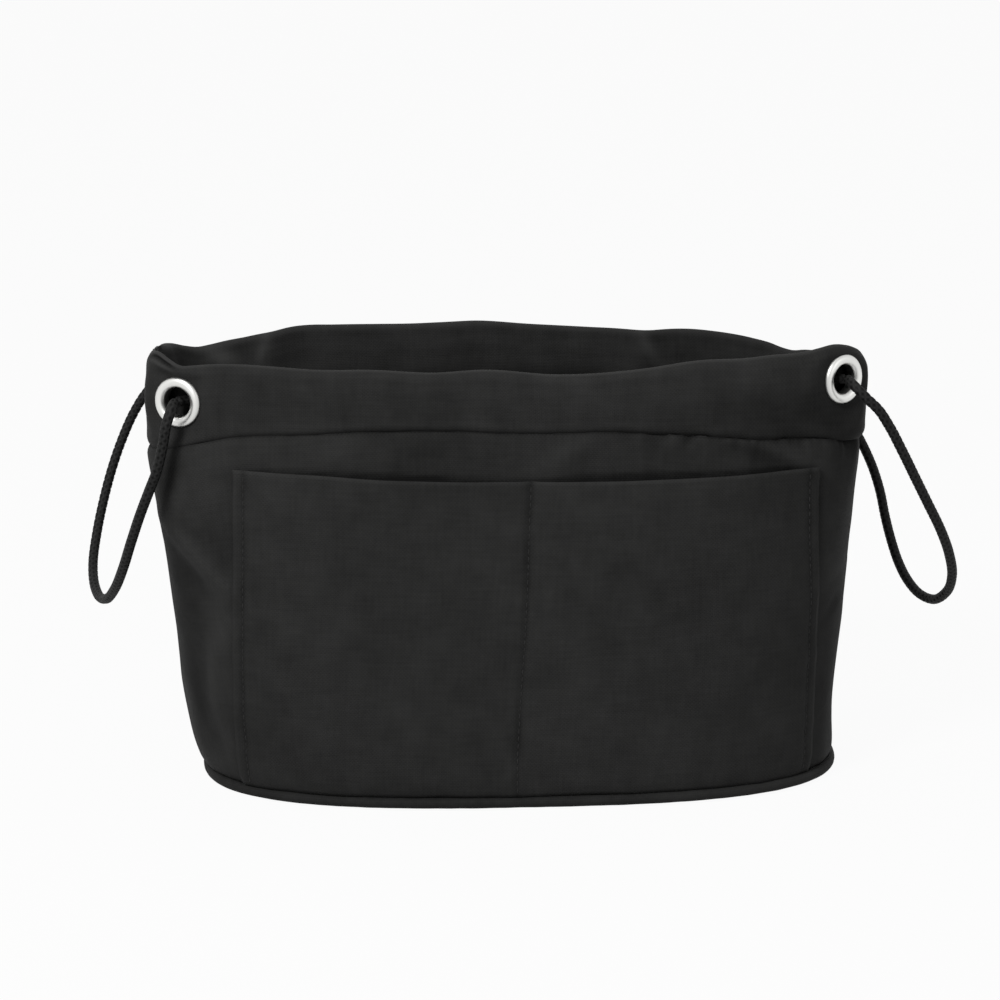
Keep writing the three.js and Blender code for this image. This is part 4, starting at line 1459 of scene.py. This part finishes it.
    def flatten(self, points, seat, outer):
        """Brings the outer face flat behind an eyelet."""
        apart = points - seat.point
        off = apart @ seat.out
        radius = np.linalg.norm(apart - off[:, None] * seat.out, axis=1)
        near = 1 - smooth_step(self.FLAT_RADIUS, self.FLAT_FADE, radius)
        return points - (near * outer * (np.abs(off) < self.FLAT_DEPTH) * off)[:, None] * seat.out

    def cut_hole(self, mesh, seat):
        """Opens the cloth at an eyelet, with a round edge."""
        out, point = Vector(seat.out), Vector(seat.point)

        def radius_of(place):
            apart = place - point
            return (apart - out * apart.dot(out)).length

        inside = []
        for face in mesh.faces:
            middle = face.calc_center_median()
            if radius_of(middle) < self.HOLE and abs((middle - point).dot(out)) < self.HOLE_DEPTH:
                inside.append(face)
        corners = {vert for face in inside for vert in face.verts}
        edge = {vert for vert in corners if any(near not in inside for near in vert.link_faces)}
        bmesh.ops.delete(mesh, geom=inside, context="FACES")
        for vert in edge:
            apart = vert.co - point
            flat = apart - out * apart.dot(out)
            vert.co = point + flat.normalized() * self.HOLE


class ORGANIZER_OT_walls(bpy.types.Operator):
    """Makes the walls: outer cloth, foam interlining and lining, front and back"""

    bl_idname = "organizer.walls"
    bl_label = "Walls"

    # Name, finish, solid, inset, thickness and grid of each layer, from the outside in
    LAYERS = (
        ("cloth", "nylon", "outer_{}_panel", 0.0, NYLON, (300, 96)),
        ("foam", "foam", "{}_interlining", FOAM_INSET, FOAM, (120, 44)),
        ("lining", "lining", "lining_{}_panel", LINING_INSET, LINING, (180, 66)),
    )
    RESTS_ON = {"cloth": "base_piping_roll", "lining": "base_lining_cloth"}

    def execute(self, context):
        form = BagForm(context.scene.organizer_bag)
        for side in SIDES:
            for layer, finish, node, inset, thickness, grid in self.LAYERS:
                mesh = wall_sheet(form, side, inset, *grid)
                piece = thicken(piece_from(mesh, f"{side}_wall_{layer}", finish), thickness)
                fit_in_frame(piece, "bag", finish, node.format(side))
        return {"FINISHED"}


class ORGANIZER_OT_base(bpy.types.Operator):
    """Makes the base: bottom cloth, stiffener, lining and the piping round the bottom seam"""

    bl_idname = "organizer.base"
    bl_label = "Base"

    LAYERS = (("base_cloth", "base_panel", "nylon"), ("base_lining_cloth", "base_lining", "lining"))
    POINTS = 192
    EDGE = 0.8 * MM
    PIPING_PROUD = 1.2 * MM
    PIPING_LIFT = 0.2 * MM
    PIPING_SIDES = 20
    PIPING_STEPS = 420
    PIPING_SLACK = 0.08 * MM
    PIPING_LUMPS = ((0.06 * MM, 4 * MM, 9), (0.08 * MM, 15 * MM, 10))
    LUMP_TWIST = 0.05
    # Painted light on the piping: darker to the left and paler to the right, across this reach
    PIPING_TINTS = (-0.25, 0.3)
    PIPING_TINT_REACH = (20 * MM, 80 * MM)

    def execute(self, context):
        form = BagForm(context.scene.organizer_bag)
        for name, node, finish in self.LAYERS:
            low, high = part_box(node)
            piece = piece_from(self.layer(form, low, high), name, finish)
            fit_in_frame(piece, "bag", finish, node)
        finish_node("base_board", "board")
        piping = piece_from(self.piping(form), "base_piping_roll", "piping")
        fit_in_frame(piping, "bag", "piping", "base_piping")
        return {"FINISHED"}

    def layer(self, form, low, high):
        """A flat oval with a soft edge, between two heights."""
        mesh = bmesh.new()
        bmesh.ops.create_circle(mesh, cap_ends=True, segments=self.POINTS, radius=1.0)
        mesh.verts.index_update()
        inset = form.sizes.base_half_width + form.sizes.base_shift - high.x
        along = np.arange(self.POINTS) / self.POINTS
        for vert, point in zip(mesh.verts, form.place(along, 0.0, -inset)):
            vert.co = (point[0], point[1], low.z)
        bmesh.ops.recalc_face_normals(mesh, faces=mesh.faces[:])
        for face in mesh.faces[:]:
            if face.normal.z > 0:
                face.normal_flip()
        grown = bmesh.ops.extrude_face_region(mesh, geom=mesh.faces[:])
        raised = [part for part in grown["geom"] if isinstance(part, bmesh.types.BMVert)]
        bmesh.ops.translate(mesh, verts=raised, vec=(0.0, 0.0, high.z - low.z))
        bmesh.ops.recalc_face_normals(mesh, faces=mesh.faces[:])
        flats = [face for face in mesh.faces if abs(face.normal.z) > 0.9]
        bmesh.ops.inset_region(mesh, faces=flats, thickness=self.EDGE, depth=0.0, use_even_offset=True)
        texture = mesh.loops.layers.uv.new("cloth")
        for face in mesh.faces:
            for loop in face.loops:
                loop[texture].uv = loop.vert.co.xy
        return mesh

    def piping(self, form):
        """A soft roll along the base's outline, with slight lumps where it is sewn in, and painted light
        that is darker at the left and paler at the right.
        """
        radius = form.sizes.piping / 2
        along = np.linspace(0, 1, self.PIPING_STEPS + 1)
        path = form.place(along, 0.0, self.PIPING_PROUD - radius)
        path[:, 2] = self.PIPING_LIFT + radius

        def radius_at(walked, turn, length):
            round_way = 2 * np.pi * walked / length
            ring = np.column_stack([np.cos(round_way), np.sin(round_way), np.cos(turn) * self.LUMP_TWIST])
            ring = ring * length / (2 * np.pi)
            lumps = ripples(ring, self.PIPING_LUMPS)
            return radius - self.PIPING_SLACK + lumps, np.zeros_like(walked)

        mesh = tube(path, self.PIPING_SIDES, radius_at, closed=True)
        painted_light = mesh.verts.layers.float.new("painted_light")
        for vert in mesh.verts:
            vert[painted_light] = mix(*self.PIPING_TINTS, smooth_step(*self.PIPING_TINT_REACH, vert.co.x))
        return mesh


class ORGANIZER_OT_patch_pockets(bpy.types.Operator):
    """Makes the double patch pocket on each outer face, with its stitches"""

    bl_idname = "organizer.patch_pockets"
    bl_label = "Patch pockets"

    GRID = (168, 84)
    FLAT = (0.174, 0.096)
    CLOTH = (0.174, 0.097)
    STITCHED_HEIGHT = 94 * MM
    STITCHED_SHARES = (0.012, 0.985)
    HALF_WIDTH = 84 * MM
    THREAD_LIFT = 0.02 * MM
    SEWN_HEIGHT = 6 * MM
    SEWN_CLEARANCE = 0.15
    GAPE_RISE = 1.6
    HALVES_APART = 40 * MM
    HEM_HOLLOW = 0.5 * MM
    HEM_HOLLOW_WIDTH = 0.9 * MM
    HEM_REACH = 5 * MM
    MIDDLE_HOLLOW = 0.45 * MM
    MIDDLE_HOLLOW_WIDTH = 1.0 * MM
    MIDDLE_REACH = 6 * MM
    PUCKER_SHARE = 0.8
    PUCKER_SIZE = (16 * MM, 4.6 * MM, 20 * MM)
    DENT = 0.35 * MM
    DENT_SIZE = 26 * MM
    DEEPEST_FOLD = -0.2 * MM
    # Painted highlights along the pocket's edges and mouth, and painted shade along the hem's stitch lines
    # and the middle seam
    EDGE_TINT = 0.22
    EDGE_TINT_REACH = 1.2 * MM
    MOUTH_TINT = 0.3
    MOUTH_TINT_REACH = (0.985, 1.0)
    HEM_LINE = 0.8 * MM
    MIDDLE_LINE = 0.9 * MM
    LINE_SHADE = 0.5
    TINT_LIMIT = 0.6

    def execute(self, context):
        form = BagForm(context.scene.organizer_bag)
        for side in SIDES:
            mesh = grid_sheet(*self.GRID, *self.surface(form, side))
            piece = thicken(piece_from(mesh, f"{side}_patch_pocket", "nylon"), pocket_sizes().cloth)
            fit_in_frame(piece, "bag", "nylon", f"{side}_pocket_panel")
            self.add_stitches(form, side)
        return {"FINISHED"}

    def lay(self, form, side, across, up):
        """Place on the bag of a share across, from edge past the middle seam to edge, and a share up."""
        share = 2 * across - 1
        mirrored = share if side == "front" else -share
        mouth = smooth_line(*zip(*POCKET_MOUTH), mirrored) * MM
        height = mix(CLOTH_FOOT, mouth, up)
        centre = by_height(POCKET_CENTRE, height)
        left, right = by_height(POCKET_LEFT_EDGE, height), by_height(POCKET_RIGHT_EDGE, height)
        edge = np.where(mirrored < 0, left, right)
        across_way = mix(centre, edge, np.abs(share))
        turned = across_way if side == "front" else -across_way
        along = FACE_MIDDLE[side] + turned / form.length_at(height)
        half_width = np.abs(edge - centre)
        to_edge, to_middle = (1 - np.abs(share)) * half_width, np.abs(share) * half_width
        return along, height, share, to_edge, to_middle

    def out_of_wall(self, form, up, spot):
        """How far the pocket's outer face stands off the bag's plain form."""
        along, height, share, to_edge, to_middle = spot
        sizes = pocket_sizes()
        strip = np.column_stack([to_edge, height, self.HALVES_APART * np.sign(share)])
        gape = mouth_gape(sizes.gape, self.GAPE_RISE, up, share)
        to_hem = np.abs(to_edge - sizes.hem)
        hollow = self.HEM_HOLLOW * bell(to_hem, self.HEM_HOLLOW_WIDTH)
        hollow = hollow + self.MIDDLE_HOLLOW * bell(to_middle, self.MIDDLE_HOLLOW_WIDTH)
        near_seam = fading(to_hem, self.HEM_REACH) + fading(to_middle, self.MIDDLE_REACH)
        puckers = self.PUCKER_SHARE * form.sizes.pucker * near_seam * ripple(strip, self.PUCKER_SIZE, 11)
        dents = self.DENT * ripple(strip, self.DENT_SIZE, 12) * np.sin(np.pi * np.abs(share))
        loose = smooth_step(0.0, self.SEWN_HEIGHT, height - CLOTH_FOOT)
        rest = sizes.clearance * mix(self.SEWN_CLEARANCE, 1.0, loose) + sizes.cloth
        folds = np.maximum(puckers + dents, self.DEEPEST_FOLD) - hollow
        return wall_relief(form, along, height) + rest + gape + loose * folds

    def surface(self, form, side):
        """Where the pocket's cloth lies, its flat size, and its painted highlights and shade."""

        def place(across, up):
            spot = self.lay(form, side, across, up)
            return form.place(spot[0], spot[1], self.out_of_wall(form, up, spot))

        def tint(across, up):
            # Painted highlights on the edges and mouth, painted shade along the stitch lines
            along, height, share, to_edge, to_middle = self.lay(form, side, across, up)
            edge = self.EDGE_TINT * fading(to_edge, self.EDGE_TINT_REACH)
            edge = edge + self.MOUTH_TINT * smooth_step(*self.MOUTH_TINT_REACH, up)
            sunk = bell(to_edge - pocket_sizes().hem, self.HEM_LINE) + bell(to_middle, self.MIDDLE_LINE)
            return np.clip(edge - self.LINE_SHADE * sunk, -self.TINT_LIMIT, self.TINT_LIMIT)

        return place, self.CLOTH, tint

    def add_stitches(self, form, side):
        """The rows of stitches along the pocket's edges and up its middle."""

        def place(across, up):
            spot = self.lay(form, side, across, up)
            along, height = spot[:2]
            stand = self.out_of_wall(form, up, spot)
            points = form.place(along, height, stand + self.THREAD_LIFT)
            return points, form.place(along, height, stand + 1 * MM)

        name = f"{side}_patch_stitches"
        upright_stitches(name, "nylon", self.STITCHED_HEIGHT, self.HALF_WIDTH, self.STITCHED_SHARES, place)


class ORGANIZER_OT_slip_pockets(bpy.types.Operator):
    """Makes the double slip pocket on each lining, with its stitches"""

    bl_idname = "organizer.slip_pockets"
    bl_label = "Slip pockets"

    GRID = (140, 64)
    CLEARANCE = 0.6 * MM
    SHIFT = 2 * MM
    GAPE_RISE = 1.3
    DENT = 0.3 * MM
    DENT_SIZE = 22 * MM
    STITCHED_SHARES = (0.015, 0.985)

    def execute(self, context):
        form = BagForm(context.scene.organizer_bag)
        sizes = pocket_sizes()
        for side in SIDES:
            flat = (2 * sizes.slip_half_width, sizes.slip_height - WALL_BOTTOM)

            def place(across, up):
                return self.points(form, side, across, up)[0]

            mesh = grid_sheet(*self.GRID, place, flat)
            bmesh.ops.reverse_faces(mesh, faces=mesh.faces[:])
            piece = thicken(piece_from(mesh, f"{side}_slip_pocket", "lining"), sizes.slip_cloth)
            fit_in_frame(piece, "bag", "lining", f"inner_{side}_pocket")
            self.add_stitches(form, side)
        return {"FINISHED"}

    def points(self, form, side, across, up):
        """Points of the pocket's inner face, and the way out of it into the bag."""
        sizes = pocket_sizes()
        share = 2 * across - 1
        height = mix(WALL_BOTTOM, sizes.slip_height, up)
        shift = self.SHIFT if side == "front" else -self.SHIFT
        along = FACE_MIDDLE[side] + (share * sizes.slip_half_width + shift) / form.length_at(height)
        gape = mouth_gape(sizes.slip_gape, self.GAPE_RISE, up, share)
        strip = np.column_stack([share * sizes.slip_half_width, height, 0 * height])
        dents = self.DENT * (1 + ripple(strip, self.DENT_SIZE, 13)) * np.sin(np.pi * np.abs(share))
        inset = WALL_THICKNESS + self.CLEARANCE + sizes.slip_cloth + gape + dents
        out = wall_relief(form, along, height) - inset
        return form.place(along, height, out), form.place(along, height, out - 1 * MM)

    def add_stitches(self, form, side):
        """The rows of stitches along the pocket's edges and up its middle."""

        def place(across, up):
            return self.points(form, side, across, up)

        name, half_width = f"{side}_slip_stitches", pocket_sizes().slip_half_width
        height = pocket_sizes().slip_height - WALL_BOTTOM
        upright_stitches(name, "lining", height, half_width, self.STITCHED_SHARES, place)


class ORGANIZER_PT_panel(bpy.types.Panel):
    """Lists the organizer's pieces and sizes"""

    bl_idname = "ORGANIZER_PT_panel"
    bl_label = "Purse organizer insert"
    bl_space_type = "VIEW_3D"
    bl_region_type = "UI"
    bl_category = "Organizer"

    def draw(self, context):
        for operator in OPERATORS:
            self.layout.operator(operator.bl_idname)
        for name, group in SIZE_GROUPS.items():
            box = self.layout.box()
            box.label(text=group.__doc__)
            for size in group.__annotations__:
                box.prop(getattr(context.scene, name), size)


SIZE_GROUPS = {
    "organizer_bag": OrganizerBag,
    "organizer_pocket": OrganizerPocket,
    "organizer_cord": OrganizerCord,
    "organizer_eyelet": OrganizerEyelet,
    "organizer_finish": OrganizerFinish,
}
OPERATORS = (
    ORGANIZER_OT_stage,
    ORGANIZER_OT_cord_loops,
    ORGANIZER_OT_cord_runs,
    ORGANIZER_OT_eyelets,
    ORGANIZER_OT_channels,
    ORGANIZER_OT_base,
    ORGANIZER_OT_walls,
    ORGANIZER_OT_patch_pockets,
    ORGANIZER_OT_slip_pockets,
)


def register():
    """Adds the classes, and the sizes to the scene."""
    for kind in (*SIZE_GROUPS.values(), *OPERATORS, ORGANIZER_PT_panel):
        bpy.utils.register_class(kind)
    for name, group in SIZE_GROUPS.items():
        setattr(bpy.types.Scene, name, PointerProperty(type=group))


def unregister():
    """Takes the sizes and the classes away again."""
    for name in SIZE_GROUPS:
        delattr(bpy.types.Scene, name)
    for kind in (ORGANIZER_PT_panel, *reversed(OPERATORS), *SIZE_GROUPS.values()):
        bpy.utils.unregister_class(kind)


def main():
    """Builds the whole scene."""
    register()
    bpy.ops.organizer.stage()
    bpy.ops.organizer.cord_loops()
    bpy.ops.organizer.cord_runs()
    bpy.ops.organizer.eyelets()
    bpy.ops.organizer.channels()
    bpy.ops.organizer.base()
    bpy.ops.organizer.walls()
    bpy.ops.organizer.patch_pockets()
    bpy.ops.organizer.slip_pockets()


if __name__ == "__main__":
    main()
